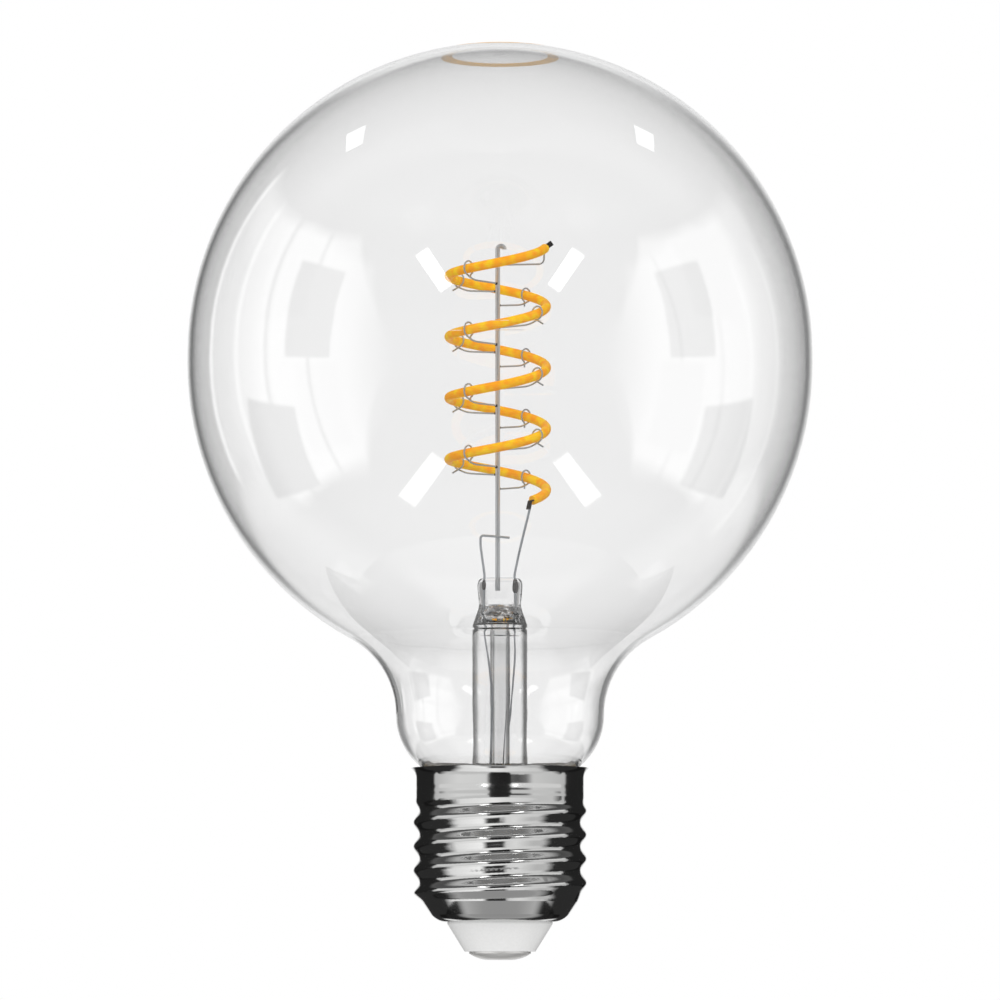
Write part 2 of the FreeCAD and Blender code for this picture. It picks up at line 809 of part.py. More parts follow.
def build_link(frame):
    """The wire from the post that feeds the strand's upper end."""
    wire = number("hook_wire_radius")
    finish = frame.beside(LINK_WELD_SHARE, wire, -1.0)
    before = frame.beside(LINK_CLEAR_SHARE, wire, -1.0)
    post = vector(-number("post_shift"), 0, 0)
    out = vector(before.x, before.y, 0) - post
    reach = out.Length
    out.normalize()
    arm_height = strand_height(STRAND_TOP_ANGLE).value - number("link_drop")
    points = [
        post + out * (number("post_radius") + number("weld_gap")) + vector(0, 0, arm_height),
        post + out * (reach - number("link_setback")) + vector(0, 0, arm_height),
        before,
        finish,
    ]
    path = rounded_path(points, {1: number("link_bend_radius"), 2: number("link_knee_radius")})
    new_feature("top_link_wire", swept_round(path, wire))


def lead_in_stem(seal_place, board_place, route):
    """A lead's way from the pinched head down through the flare tube to the board, as points."""
    bore = number("stem_radius") - number("stem_wall")
    points = [plan_point(seal_place, PINCH_TOP.value + number("lead_crook_radius"))]
    points.append(plan_point(seal_place, STEM_TOP.value - number("lead_radius")))
    for across, depth, share in route:
        height = SEAL_HEIGHT.value + number("stem_length") * share
        points.append(vector(bore * across, bore * depth, height))
    points.append(plan_point(board_place, SEAL_HEIGHT.value - number("lead_exit_drop")))
    points.append(plan_point(board_place, BOARD_FOOT.value - number("solder_tail")))
    return points


def plan_point(place, height):
    """A point above a place in plan."""
    x, y = (size.value for size in place)
    return vector(x, y, height)


def build_leads(frame):
    """The two leads: the left one is welded to the post, the right one to the strand's lower tab."""
    radius = number("lead_radius")
    crook = number("lead_crook_radius")
    seal_turn = number("lead_seal_turn")
    shoulder = number("lead_shoulder")
    post_x = -number("post_shift")
    front = LEFT_LEAD[1].value
    weld_height = PINCH_TOP.value + number("lead_rise")
    left = [
        vector(post_x + number("lead_toe"), front, weld_height - radius),
        vector(post_x, front, weld_height),
        vector(post_x - shoulder, front, weld_height + radius),
        vector(post_x - shoulder, front, weld_height - number("lead_slump")),
    ] + lead_in_stem(LEFT_LEAD, LEFT_LEAD_BOARD, LEFT_LEAD_ROUTE)
    # the two corners at the pinched head's faces stay short of the seal between them
    path = rounded_path(left, {2: crook, 3: crook, 4: seal_turn, 5: seal_turn})
    new_feature("lead_wire_left", swept_round(path, radius))

    upper = frame.beside(LEAD_WELD_SHARE, radius, 1.0)
    lower = frame.beside(LEAD_CLEAR_SHARE, radius, 1.0)
    drop = lower.z - PINCH_TOP.value
    right = [upper, lower]
    for across, depth, share in RIGHT_LEAD_BOW:
        right.append(vector(lower.x * across, lower.y * depth, PINCH_TOP.value + drop * share))
    right += lead_in_stem(RIGHT_LEAD, RIGHT_LEAD_BOARD, RIGHT_LEAD_ROUTE)
    path = rounded_path(right, {4: seal_turn, 5: seal_turn})
    new_feature("lead_wire_right", swept_round(path, radius))


def thread_radius(angle, height, crest, root_radius):
    """Skin radius of the rolled thread, fading into the collar above and the plain foot below."""
    pitch = number("thread_pitch")
    top = THREAD_TOP.value
    foot = THREAD_FOOT.value
    start = top - number("thread_start_drop")
    phase = 2.0 * math.pi * ((height - start) / pitch - angle / (2.0 * math.pi))
    wave = (1.0 + math.cos(phase)) / 2.0
    threaded = root_radius + (crest - root_radius) * wave
    above = smooth((top - height) / (pitch * THREAD_FADE_ABOVE))
    below = smooth((height - foot) / (pitch * THREAD_FADE_BELOW))
    top_radius = number("collar_radius")
    foot_radius = number("cone_radius")
    skin = top_radius + (threaded - top_radius) * above
    return foot_radius + (skin - foot_radius) * below


def smooth(share):
    """A step from 0 to 1 with level ends."""
    share = min(1.0, max(0.0, share))
    return share * share * (3.0 - 2.0 * share)


def ring_band(rows, degree):
    """A closed band around the axis from rows of poles; each row is (height, radius by angle)."""
    columns = THREAD_COLUMNS
    step = 2.0 * math.pi / columns
    inside = ring_shrink(step)
    poles = []
    for c in range(columns):
        angle = step * c
        poles.append([
            vector(radius(angle) * math.cos(angle) / inside,
                   radius(angle) * math.sin(angle) / inside, height)
            for height, radius in rows
        ])
    spans = len(rows) - degree
    around_knots = [float(k) for k in range(columns + 1)]
    around_mults = [1] * (columns + 1)
    along_knots = [float(k) for k in range(spans + 1)]
    along_mults = [degree + 1] + [1] * (spans - 1) + [degree + 1]
    surface = Part.BSplineSurface()
    surface.buildFromPolesMultsKnots(
        poles, around_mults, along_mults, around_knots, along_knots, True, False, 3, degree)
    return surface.toShape()


def constant(radius):
    """A row of even radius."""
    return lambda angle: radius


def cap_rows(wall):
    """The shell's skin from rim to lip, as bands of rows; wall is 0 for the outer skin."""
    rim = RIM_HEIGHT.value
    collar_top = COLLAR_TOP.value
    top = THREAD_TOP.value
    foot = THREAD_FOOT.value
    collar = number("collar_radius") - wall
    cone = number("cone_radius") - wall
    lip = number("lip_radius")
    lip_z = number("lip_height") + wall
    lip_round = number("lip_round") - wall / 2
    crest = number("thread_crest_radius") - wall
    thread_root = number("thread_root_radius") - wall
    pitch = number("thread_pitch")
    rows = math.ceil((top - foot) / pitch * THREAD_ROWS_PER_PITCH)
    # poles stand out further than the skin, because the band smooths them
    swing = (crest - thread_root) / 2.0 / ring_shrink(2.0 * math.pi / THREAD_ROWS_PER_PITCH)
    middle = (crest + thread_root) / 2.0

    def threaded(height):
        def radius(angle):
            skin = thread_radius(angle, height, middle + swing + wall, middle - swing + wall)
            return skin - wall
        return radius

    flare = [
        (rim, constant(number("rim_radius") - wall)),
        (rim - number("rim_rise") * RIM_FLARE_START, constant(collar)),
        (collar_top, constant(collar)),
    ]
    plain = [(collar_top, constant(collar)), (top, constant(collar))]
    thread = []
    for i in range(rows + 1):
        height = top + (foot - top) * i / rows
        thread.append((height, threaded(height)))
    corner = lip + lip_round
    shoulder = (lip_z + lip_round * LIP_SHOULDER_RISE, constant(corner + lip_round * LIP_SHOULDER_REACH))
    slope = [(foot, constant(cone)), shoulder]
    rounding = [
        shoulder,
        (lip_z, constant(corner + lip_round * LIP_EDGE_REACH)),
        (lip_z, constant(lip)),
    ]
    return [(flare, 2), (plain, 1), (thread, 3), (slope, 1), (rounding, 2)]


def build_cap_shell():
    """The thin screw shell: flared rim, plain collar, rolled thread, cone and turned-in lip."""
    wall = number("cap_wall")
    outer = [ring_band(rows, degree) for rows, degree in cap_rows(0.0)]
    inner = [ring_band(rows, degree) for rows, degree in cap_rows(wall)]
    rim = ring_band([
        (RIM_HEIGHT.value, constant(number("rim_radius") - wall)),
        (RIM_HEIGHT.value, constant(number("rim_radius"))),
    ], 1)
    lip = ring_band([
        (number("lip_height"), constant(number("lip_radius"))),
        (number("lip_height") + wall, constant(number("lip_radius"))),
    ], 1)
    new_feature("cap_shell", sewn_solid(outer + inner + [rim, lip]))


def build_insulator():
    """The white insulator, gripped by the shell's lip, with a bore for the contact's rivet."""
    body = new_body("cap_insulator")
    gap = dim("seat_gap")
    waist = dim("lip_radius") - gap
    lip = dim("lip_height")
    step = lip - gap
    inside = lip + dim("cap_wall") + gap
    flange_top = inside + dim("insulator_flange_thickness")
    foot = dim("insulator_foot_height")
    bore = dim("rivet_radius") + gap
    grip = dim("lip_radius") + dim("insulator_grip")
    revolve(body, "moulded_ring", [
        (bore, foot),
        (dim("insulator_foot_radius"), foot),
        (waist, step - dim("insulator_shadow_gap")),
        (waist, inside),
        (grip, inside),
        (grip, flange_top),
        (bore, flange_top),
    ])


def build_contact():
    """The domed contact disc with its hollow rivet."""
    body = new_body("centre_contact")
    radius = dim("contact_radius")
    flat = dim("contact_flat_radius")
    edge = dim("insulator_foot_height") - dim("contact_edge")
    seat = dim("insulator_foot_height") - dim("weld_gap")
    rivet_top = (dim("lip_height") + dim("cap_wall") + dim("seat_gap")
                 + dim("insulator_flange_thickness") + dim("rivet_rise"))
    rivet = dim("rivet_radius")
    bore = dim("rivet_bore_radius")
    bore_foot = seat - dim("contact_edge")
    # the dome leaves the flat and reaches the edge in one arc
    across = radius - flat
    dome = (across * across + edge * edge) / (2 * edge)
    revolve(body, "disc_and_rivet", [
        (as_size(0), as_size(0)),
        (flat, as_size(0), (flat, dome), dome, 1),
        (radius, edge),
        (radius, seat),
        (rivet, seat),
        (rivet, rivet_top),
        (bore, rivet_top),
        (bore, bore_foot),
        (as_size(0), bore_foot),
    ])


def build_cement():
    """The ring of cement between the neck and the shell."""
    body = new_body("basing_cement")
    gap = dim("seat_gap")
    inside = dim("neck_radius") + gap
    low = SHELL_BORE - gap
    high = dim("collar_radius") - dim("cap_wall") - gap
    foot = SEAL_HEIGHT + dim("cement_rise")
    turn = THREAD_TOP + gap
    top = NECK_TOP - dim("cement_setback")
    revolve(body, "cement_ring", [
        (inside, foot),
        (low, foot),
        (low, turn),
        (high, turn),
        (high, top),
        (inside, top),
    ])


def build_board():
    """The round driver board with its wire holes, seated on the shell's cone."""
    body = new_body("driver_board")
    outline = new_sketch(body, "board_outline", "XY_Plane", BOARD_FOOT)
    draw_circle(outline, 0, 0, dim("board_radius"))
    pad(body, "board", outline, dim("board_thickness"))
    holes = new_sketch(body, "board_holes", "XY_Plane", BOARD_TOP)
    lead = dim("lead_radius") + dim("seat_gap")
    wire = dim("wire_radius") + dim("seat_gap")
    draw_circle(holes, *LEFT_LEAD_BOARD, lead)
    draw_circle(holes, *RIGHT_LEAD_BOARD, lead)
    draw_circle(holes, 0, 0, wire)
    draw_circle(holes, -dim("shell_wire_reach"), 0, wire)
    pocket(body, "wire_holes", holes, dim("board_thickness"))


def build_board_parts():
    """The parts on the board, each a body of its own."""
    top = BOARD_TOP + dim("weld_gap")
    board = dim("board_radius")
    body = new_body("smoothing_capacitor")
    can = new_sketch(body, "can_outline", "XY_Plane", 0)
    draw_circle(can, 0, 0, dim("capacitor_radius"))
    pad(body, "can", can, dim("capacitor_height"))
    place(body, x=board * CAPACITOR_PLACE[0], y=board * CAPACITOR_PLACE[1], z=top)

    body = new_body("fusible_resistor")
    core = new_sketch(body, "resistor_outline", "XZ_Plane", -dim("fuse_length") / 2)
    draw_circle(core, 0, dim("fuse_radius"), dim("fuse_radius"))
    pad(body, "resistor", core, dim("fuse_length"))
    place(body, x=board * RESISTOR_PLACE[0], y=board * RESISTOR_PLACE[1], z=top)

    for label, across, depth, family, turn in CHIP_PLACES:
        body = new_body(label)
        outline = new_sketch(body, f"{label}_outline", "XY_Plane", 0)
        draw_box(outline, as_size(0), as_size(0), dim(f"{family}_length"), dim(f"{family}_width"))
        pad(body, f"{label}_block", outline, dim(f"{family}_height"))
        place(body, x=board * across, y=board * depth, z=top, turn=turn)


def build_inner_wires():
    """The wires from the board to the contact and to the shell."""
    body = new_body("contact_wire")
    foot = dim("insulator_foot_height") + dim("seat_gap")
    section = new_sketch(body, "contact_wire_section", "XY_Plane", foot)
    draw_circle(section, 0, 0, dim("wire_radius"))
    pad(body, "contact_wire_bar", section, BOARD_TOP + dim("solder_tail") - foot)

    body = new_body("shell_wire")
    foot = BOARD_FOOT - dim("solder_tail")
    wire = dim("wire_radius")
    stand = -dim("shell_wire_reach")
    bend = dim("shell_wire_bend")
    # the wire ends against the shell where a root of the thread comes nearest
    touch_height = THREAD_TOP - dim("thread_start_drop") - dim("thread_pitch") * SHELL_WIRE_TURNS
    end = -(SHELL_BORE - dim("seat_gap"))
    path = new_sketch(body, "shell_wire_line", "XZ_Plane")
    rise = path.addGeometry(Part.LineSegment(
        vector(stand.value, foot.value, 0), vector(stand.value, (touch_height - bend).value, 0)))
    arc = path.addGeometry(arc_between(
        (stand, touch_height - bend), (stand - bend, touch_height),
        (stand - bend, touch_height - bend), 1))
    out = path.addGeometry(Part.LineSegment(
        vector((stand - bend).value, touch_height.value, 0),
        vector(end.value, touch_height.value, 0)))
    fix_point(path, rise, 1, stand, foot)
    bind(path, "DistanceX", -1, 1, rise, 2, size=stand)
    path.addConstraint(Sketcher.Constraint("Tangent", rise, 2, arc, 1))
    path.addConstraint(Sketcher.Constraint("Tangent", arc, 2, out, 1))
    bind(path, "Radius", arc, size=bend)
    fix_point(path, out, 2, end, touch_height)
    section = new_sketch(body, "shell_wire_section", "XY_Plane", foot)
    draw_circle(section, stand, 0, wire)
    pipe(body, "shell_wire_bar", path, section)


def check_and_write():
    """Stop on any failed object or shape, then write one file for each piece."""
    document.recompute()
    for item in document.Objects:
        if "Invalid" in item.State or "Error" in item.State:
            raise RuntimeError(f"{item.Label} failed: {item.State}")
    os.makedirs("parts", exist_ok=True)
    for piece in pieces:
        shape = piece.Shape
        if shape.isNull() or not shape.isValid():
            raise RuntimeError(f"{piece.Label} has no valid shape")
        if len(shape.Solids) != 1:
            raise RuntimeError(f"{piece.Label} has {len(shape.Solids)} solids")
        shape.exportStep(f"parts/{piece.Label}.step")
        print(f"{piece.Label}: {shape.Volume:.2f} mm3")


build_globe()
build_stem()
build_exhaust_tube()
build_post()
strand_line = build_filament()
build_hooks()
upper_end = TabFrame(strand_line, strand_line.LastParameter, 1.0, vector(*UPPER_TAB_AIM))
lower_end = TabFrame(strand_line, strand_line.FirstParameter, -1.0, vector(*LOWER_TAB_AIM))
build_tab("filament_terminal_top", upper_end)
build_tab("filament_terminal_bottom", lower_end)
build_link(upper_end)
build_leads(lower_end)
build_cap_shell()
build_insulator()
build_contact()
build_cement()
build_board()
build_board_parts()
build_inner_wires()
check_and_write()
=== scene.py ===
"""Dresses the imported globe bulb: glass, cap metals, filament, driver parts and a small photo studio."""

import math
import bmesh
import bpy
from mathutils import Matrix, Vector


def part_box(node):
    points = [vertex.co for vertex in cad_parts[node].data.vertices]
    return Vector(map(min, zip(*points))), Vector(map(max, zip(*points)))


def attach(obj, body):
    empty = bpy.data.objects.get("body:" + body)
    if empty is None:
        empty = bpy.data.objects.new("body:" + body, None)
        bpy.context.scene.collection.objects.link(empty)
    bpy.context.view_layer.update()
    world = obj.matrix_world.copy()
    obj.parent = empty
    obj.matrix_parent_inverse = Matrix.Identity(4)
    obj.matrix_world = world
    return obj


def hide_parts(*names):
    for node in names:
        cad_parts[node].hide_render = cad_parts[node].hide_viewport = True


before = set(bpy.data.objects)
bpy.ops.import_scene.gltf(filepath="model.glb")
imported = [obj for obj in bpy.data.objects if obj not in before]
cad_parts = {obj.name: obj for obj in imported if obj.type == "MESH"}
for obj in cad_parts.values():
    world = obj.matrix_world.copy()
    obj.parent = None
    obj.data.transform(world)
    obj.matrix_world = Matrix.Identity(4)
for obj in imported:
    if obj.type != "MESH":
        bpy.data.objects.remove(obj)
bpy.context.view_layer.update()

bl_info = {
    "name": "Globe bulb dresser",
    "version": (1, 0, 0),
    "blender": (4, 5, 0),
    "location": "3D View > Sidebar > Globe bulb",
    "description": "Gives a packed LED globe bulb its glass, metals, phosphor and studio",
    "category": "Object",
}

MM = 0.001
HOOKS = [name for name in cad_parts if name.startswith("support_hook_")]
GLASS_LOW, GLASS_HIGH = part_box("glass_globe")
POST_LOW, POST_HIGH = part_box("centre_rod")
STEM_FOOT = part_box("stem_flare")[0].z
CAP_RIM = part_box("cap_shell")[1].z

# The glass mount in millimetres: how wide, how deep and how square it is at each height above its foot.
# Its hollow, from the top of the bubble above the exhaust tube down to the flange
STEM_HOLLOW = (
    (0.2, 0.1, 2.0, 37.1), (1.4, 0.5, 2.0, 37.05), (2.2, 0.85, 2.2, 36.8), (2.5, 1.15, 2.2, 36.4),
    (2.8, 1.7, 2.1, 35.9), (3.2, 2.5, 2.0, 35.3), (3.55, 3.3, 2.0, 34.7), (3.72, 3.72, 2.0, 33.9),
    (3.72, 3.72, 2.0, 19.7), (3.72, 3.72, 2.0, 7.1), (3.95, 3.95, 2.0, 4.5), (5.0, 5.0, 2.0, 2.3),
    (6.7, 6.7, 2.0, 0.7), (8.6, 8.6, 2.0, 0.1), (10.35, 10.35, 2.0, 0.0),
)
# Its skin, from the flange up to the rounded top of the pinched head
STEM_SKIN = (
    (11.2, 11.2, 2.0, 0.0), (11.2, 11.2, 2.0, 0.7), (10.35, 10.35, 2.0, 0.7), (8.6, 8.6, 2.0, 0.95),
    (6.9, 6.9, 2.0, 1.8), (5.4, 5.4, 2.0, 3.3), (4.5, 4.5, 2.0, 5.2), (4.15, 4.15, 2.0, 6.9),
    (4.15, 4.15, 2.0, 19.7), (4.15, 4.15, 2.0, 33.3), (4.1, 4.0, 2.0, 34.3), (3.9, 3.5, 2.1, 35.1),
    (3.6, 2.75, 2.2, 35.8), (3.35, 2.0, 2.4, 36.5), (3.2, 1.55, 2.6, 37.1), (3.2, 1.4, 2.8, 37.8),
    (3.32, 1.38, 2.8, 38.9), (3.4, 1.4, 2.8, 40.1), (3.36, 1.36, 2.8, 40.7), (3.15, 1.15, 2.6, 41.15),
    (2.7, 0.8, 2.4, 41.4), (1.6, 0.35, 2.2, 41.5), (0.3, 0.1, 2.0, 41.5),
)
# The sleeves that seal the two leads in the head: place, radius, and heights of both ends above the foot
LEAD_SLEEVES = ((2.2, 0.0, 0.42, 39.05, 41.05), (-2.36, -0.55, 0.28, 39.4, 41.2))

# The tongs' dents fade in between these heights of the glass mount
DENTS_RISE = (STEM_FOOT + 33.7 * MM, STEM_FOOT + 35.7 * MM)
# The folds where the flame closed the tube: their middle height, and how far they reach up and down
FOLD_HEIGHT = STEM_FOOT + 36.4 * MM
FOLD_REACH = 0.9 * MM
# The low bead rolled into the cap between its thread and its plain rim: foot, crest and upper end
CAP_BEAD = (CAP_RIM - 4.4 * MM, CAP_RIM - 3.5 * MM, CAP_RIM - 2.5 * MM)


# Values that a user would change


class GlassSettings(bpy.types.PropertyGroup):
    """The blown globe, its stem and the print on the crown."""

    # the edge colour is partly the glass's own tint seen along the wall and partly painted shade: the dark
    # edge lines of the glass
    edge_tint_and_shade: bpy.props.StringProperty(
        name="Edge colour", description="Colour of the glass seen along the wall, as sRGB hex",
        default="8C9092")
    wave_size: bpy.props.FloatProperty(
        name="Wave size", description="Length of the waves that blowing leaves in the wall",
        default=22 * MM, unit="LENGTH")
    ring_radius: bpy.props.FloatProperty(
        name="Crown ring radius", description="Outer radius of the gold ring printed on the crown",
        default=9.2 * MM, unit="LENGTH")
    ring_width: bpy.props.FloatProperty(
        name="Crown ring width", description="Width of the printed line", default=1.7 * MM, unit="LENGTH")
    gold: bpy.props.StringProperty(
        name="Gold", description="Colour of the printed ring, as sRGB hex", default="E0B46A")


class MetalSettings(bpy.types.PropertyGroup):
    """The cap, the contact and the wires."""

    nickel: bpy.props.StringProperty(
        name="Nickel", description="Colour of the plated cap, as sRGB hex", default="DFDFDE")
    rolling_mark: bpy.props.FloatProperty(
        name="Rolling mark", description="Spacing of the fine marks that run round the cap",
        default=0.25 * MM, unit="LENGTH")
    bead_radius: bpy.props.FloatProperty(
        name="Weld bead radius", description="Radius of the bead where a hook is welded to the post",
        default=0.22 * MM, unit="LENGTH")


class StrandSettings(bpy.types.PropertyGroup):
    """The LED strand."""

    phosphor: bpy.props.StringProperty(
        name="Phosphor", description="Colour of the phosphor jacket, as sRGB hex", default="F2C300")
    phosphor_deep: bpy.props.StringProperty(
        name="Deep phosphor", description="Colour where the jacket is thickest, as sRGB hex",
        default="F29E00")
    chip_pitch: bpy.props.FloatProperty(
        name="Chip pitch", description="Distance between the LED chips under the jacket",
        default=1.1 * MM, unit="LENGTH")


class StudioSettings(bpy.types.PropertyGroup):
    """The camera and the light."""

    camera_distance: bpy.props.FloatProperty(
        name="Camera distance", description="From the camera to the bulb's axis", default=0.9, unit="LENGTH")
    camera_height: bpy.props.FloatProperty(
        name="Camera height", description="Above the centre contact", default=-0.005, unit="LENGTH")
    aim_height: bpy.props.FloatProperty(
        name="Aim height", description="Height on the axis at the middle of the picture",
        default=0.0696, unit="LENGTH")
    field_width: bpy.props.FloatProperty(
        name="Field width", description="What the picture takes in at the axis",
        default=0.1518, unit="LENGTH")
    floor_height: bpy.props.FloatProperty(
        name="Floor height", description="Of the floor, below the bulb", default=-0.15, unit="LENGTH")
    lamp_power: bpy.props.FloatProperty(
        name="Lamp power", description="Of each of the two softboxes", default=2.4, unit="POWER")
    ambient: bpy.props.FloatProperty(
        name="Ambient", description="Level of the light from all round",
        default=0.72, min=0.0, max=1.0, subtype="FACTOR")


# Small helpers


def srgb(code):
    """A colour for a shader from its sRGB hex code."""
    channels = []
    for i in (0, 2, 4):
        share = int(code[i:i + 2], 16) / 255
        channels.append(share / 12.92 if share <= 0.04045 else ((share + 0.055) / 1.055) ** 2.4)
    return (*channels, 1.0)


def node(tree, kind, inputs=None, **settings):
    """Add a node with its settings, and fill or link its inputs. A node as a value gives its first output."""
    made = tree.nodes.new(kind)
    for name, value in settings.items():
        setattr(made, name, value)
    for socket, value in (inputs or {}).items():
        if isinstance(value, bpy.types.Node):
            value = next(output for output in value.outputs if output.enabled)
        if isinstance(value, bpy.types.NodeSocket):
            tree.links.new(value, made.inputs[socket])
        else:
            made.inputs[socket].default_value = value
    return made


def new_tree(name):
    """A new material with an empty node tree; returns both."""
    material = bpy.data.materials.new(name)
    material.use_nodes = True
    material.node_tree.nodes.clear()
    return material, material.node_tree


def dress(names, material):
    """Give CAD nodes a material in place of their plain one."""
    for name in names:
        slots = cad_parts[name].data.materials
        slots.clear()
        slots.append(material)


def mesh_piece(name, mesh, material):
    """A new piece in the bulb's frame."""
    piece = bpy.data.objects.new(name, mesh)
    bpy.context.scene.collection.objects.link(piece)
    mesh.materials.append(material)
    for face in mesh.polygons:
        face.use_smooth = True
    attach(piece, "root")
    return piece


def ring_mesh(name, rings, closed):
    """A skin through rings of points; a closed one joins its last ring to its first."""
    mesh = bpy.data.meshes.new(name)
    columns = len(rings[0])
    points = [point for ring in rings for point in ring]
    faces = []
    for r in range(len(rings) if closed else len(rings) - 1):
        upper = (r + 1) % len(rings)
        for c in range(columns):
            on = (c + 1) % columns
            faces.append((r * columns + c, r * columns + on, upper * columns + on, upper * columns + c))
    mesh.from_pydata(points, [], faces)
    mesh.validate()
    return mesh


def close_ends(mesh, columns):
    """Flat lids on the first and the last ring of a skin."""
    shell = bmesh.new()
    shell.from_mesh(mesh)
    shell.verts.ensure_lookup_table()
    shell.faces.new([shell.verts[c] for c in reversed(range(columns))])
    shell.faces.new(shell.verts[-columns:])
    shell.to_mesh(mesh)
    shell.free()


def ball_mesh(name, balls, columns, rows):
    """Balls, each from its middle and its three radii."""
    mesh = bpy.data.meshes.new(name)
    made = bmesh.new()
    for middle, radii in balls:
        bmesh.ops.create_uvsphere(
            made, u_segments=columns, v_segments=rows, radius=1.0,
            matrix=Matrix.Translation(middle) @ Matrix.Diagonal((*radii, 1.0)))
    made.to_mesh(mesh)
    made.free()
    return mesh


def smooth_line(points, count):
    """More points on a line through given ones, in even curves."""
    line = []
    for i in range(len(points) - 1):
        before = points[max(i - 1, 0)]
        here = points[i]
        there = points[i + 1]
        after = points[min(i + 2, len(points) - 1)]
        for step in range(count):
            t = step / count
            line.append(tuple(
                b + t * ((c - a) / 2 + t * (a - 2.5 * b + 2 * c - d / 2 + t * (1.5 * (b - c) + (d - a) / 2)))
                for a, b, c, d in zip(before, here, there, after)))
    return line + [points[-1]]


def squared_rings(outline, columns, foot):
    """Rings between round and square from (width, depth, squareness, height above foot) in millimetres."""
    rings = []
    for width, depth, square, height in outline:
        ring = []
        for c in range(columns):
            turn = 2 * math.pi * c / columns
            across = math.copysign(abs(math.cos(turn)) ** (2 / square), math.cos(turn))
            along = math.copysign(abs(math.sin(turn)) ** (2 / square), math.sin(turn))
            ring.append((width * across * MM, depth * along * MM, foot + height * MM))
        rings.append(ring)
    return rings


def turned_rings(outline, columns):
    """Rings about the bulb's axis from (radius, height) points."""
    turns = [2 * math.pi * c / columns for c in range(columns)]
    rings = []
    for radius, height in outline:
        rings.append([(radius * math.cos(turn), radius * math.sin(turn), height) for turn in turns])
    return rings


def direction(azimuth, elevation):
    """A unit vector from degrees round from the front over the right, and degrees up."""
    azimuth = math.radians(azimuth)
    elevation = math.radians(elevation)
    flat = math.cos(elevation)
    return Vector((math.sin(azimuth) * flat, -math.cos(azimuth) * flat, math.sin(elevation)))


# Materials


def wall_tint_and_edge_shade(tree, face_colour, edge_tint_and_shade, start):
    """The tint of a glass wall from face on to edge on, greyer towards the edge: partly the glass's own tint,
    partly painted shade for dark edge lines. It starts to change at a share of the way.
    """
    grazing = node(tree, "ShaderNodeLayerWeight", {"Blend": 0.5})
    edge = node(tree, "ShaderNodeMapRange", {
        "Value": grazing.outputs["Facing"], "From Min": start, "From Max": 1.0},
        interpolation_type="SMOOTHSTEP")
    return node(tree, "ShaderNodeMix", {
        "Factor": edge, "A": srgb(face_colour), "B": srgb(edge_tint_and_shade)}, data_type="RGBA")


def show_glass(tree, tint, ior, bump):
    """Smooth glass of a tint on the surface. Lamps shine through its thin walls onto what is inside."""
    glass = node(tree, "ShaderNodeBsdfPrincipled", {
        "Base Color": tint, "Roughness": 0.0, "IOR": ior, "Transmission Weight": 1.0, "Normal": bump})
    path = node(tree, "ShaderNodeLightPath")
    through = node(tree, "ShaderNodeBsdfTransparent", {"Color": srgb("F8F8F8")})
    either = node(tree, "ShaderNodeMixShader", {0: path.outputs["Is Shadow Ray"], 1: glass, 2: through})
    node(tree, "ShaderNodeOutputMaterial", {"Surface": either})


def clear_glass(name, edge_tint_and_shade, wave_size):
    """Soda-lime glass, blown or drawn and fire-polished: clear face on, grey where the wall is seen along its
    length, partly its own tint and partly painted shade, with long low waves that bend the reflections a
    little."""
    material, tree = new_tree(name)
    place = node(tree, "ShaderNodeTexCoord")
    waves = node(tree, "ShaderNodeTexNoise", {
        "Vector": place.outputs["Object"], "Scale": 1 / wave_size, "Detail": 1.0, "Roughness": 0.4})
    bump = node(tree, "ShaderNodeBump", {"Strength": 0.05, "Distance": 0.1 * MM, "Height": waves})
    show_glass(tree, wall_tint_and_edge_shade(tree, "FDFDFD", edge_tint_and_shade, 0.76), 1.52, bump)
    return material


def pressed_glass(name, edge_tint_and_shade):
    """Lead-free stem glass, melted in a flame and pinched while soft: clear, with small dents from the tongs,
    and wrinkled and greyer in blotches where the flame closed the tube."""
    material, tree = new_tree(name)
    place = node(tree, "ShaderNodeTexCoord")
    parts = node(tree, "ShaderNodeSeparateXYZ", {0: place.outputs["Object"]})
    height = parts.outputs["Z"]
    head = node(tree, "ShaderNodeMapRange", {
        "Value": height, "From Min": DENTS_RISE[0], "From Max": DENTS_RISE[1], "To Min": 0.02, "To Max": 0.8})
    dents = node(tree, "ShaderNodeTexNoise", {
        "Vector": place.outputs["Object"], "Scale": 1 / (1.3 * MM), "Detail": 1.0, "Roughness": 0.4})
    near_fold = node(tree, "ShaderNodeMath", {0: height, 1: FOLD_HEIGHT, 2: FOLD_REACH}, operation="COMPARE")
    # the folds are 4.5 times as deep as the dents
    folds = node(tree, "ShaderNodeMath", {0: near_fold, 1: 3.5, 2: 1.0}, operation="MULTIPLY_ADD")
    depth = node(tree, "ShaderNodeMath", {0: dents, 1: folds}, operation="MULTIPLY")
    bump = node(tree, "ShaderNodeBump", {"Strength": head, "Distance": 0.16 * MM, "Height": depth})
    # the glass turns greyer in blotches at the height of the folds
    thick = node(tree, "ShaderNodeMapRange", {
        "Value": dents, "From Min": 0.42, "From Max": 0.55}, interpolation_type="SMOOTHSTEP")
    grey_blotches_at_folds = node(tree, "ShaderNodeMath", {0: thick, 1: near_fold}, operation="MULTIPLY")
    # painted shade: the stem glass greys towards its edges, beyond its own tint
    wall = wall_tint_and_edge_shade(tree, "FFFFFF", edge_tint_and_shade, 0.6)
    tint = node(tree, "ShaderNodeMix", {"Factor": grey_blotches_at_folds, "A": wall, "B": srgb("8F8F8F")}, data_type="RGBA")
    show_glass(tree, tint, 1.54, bump)
    return material


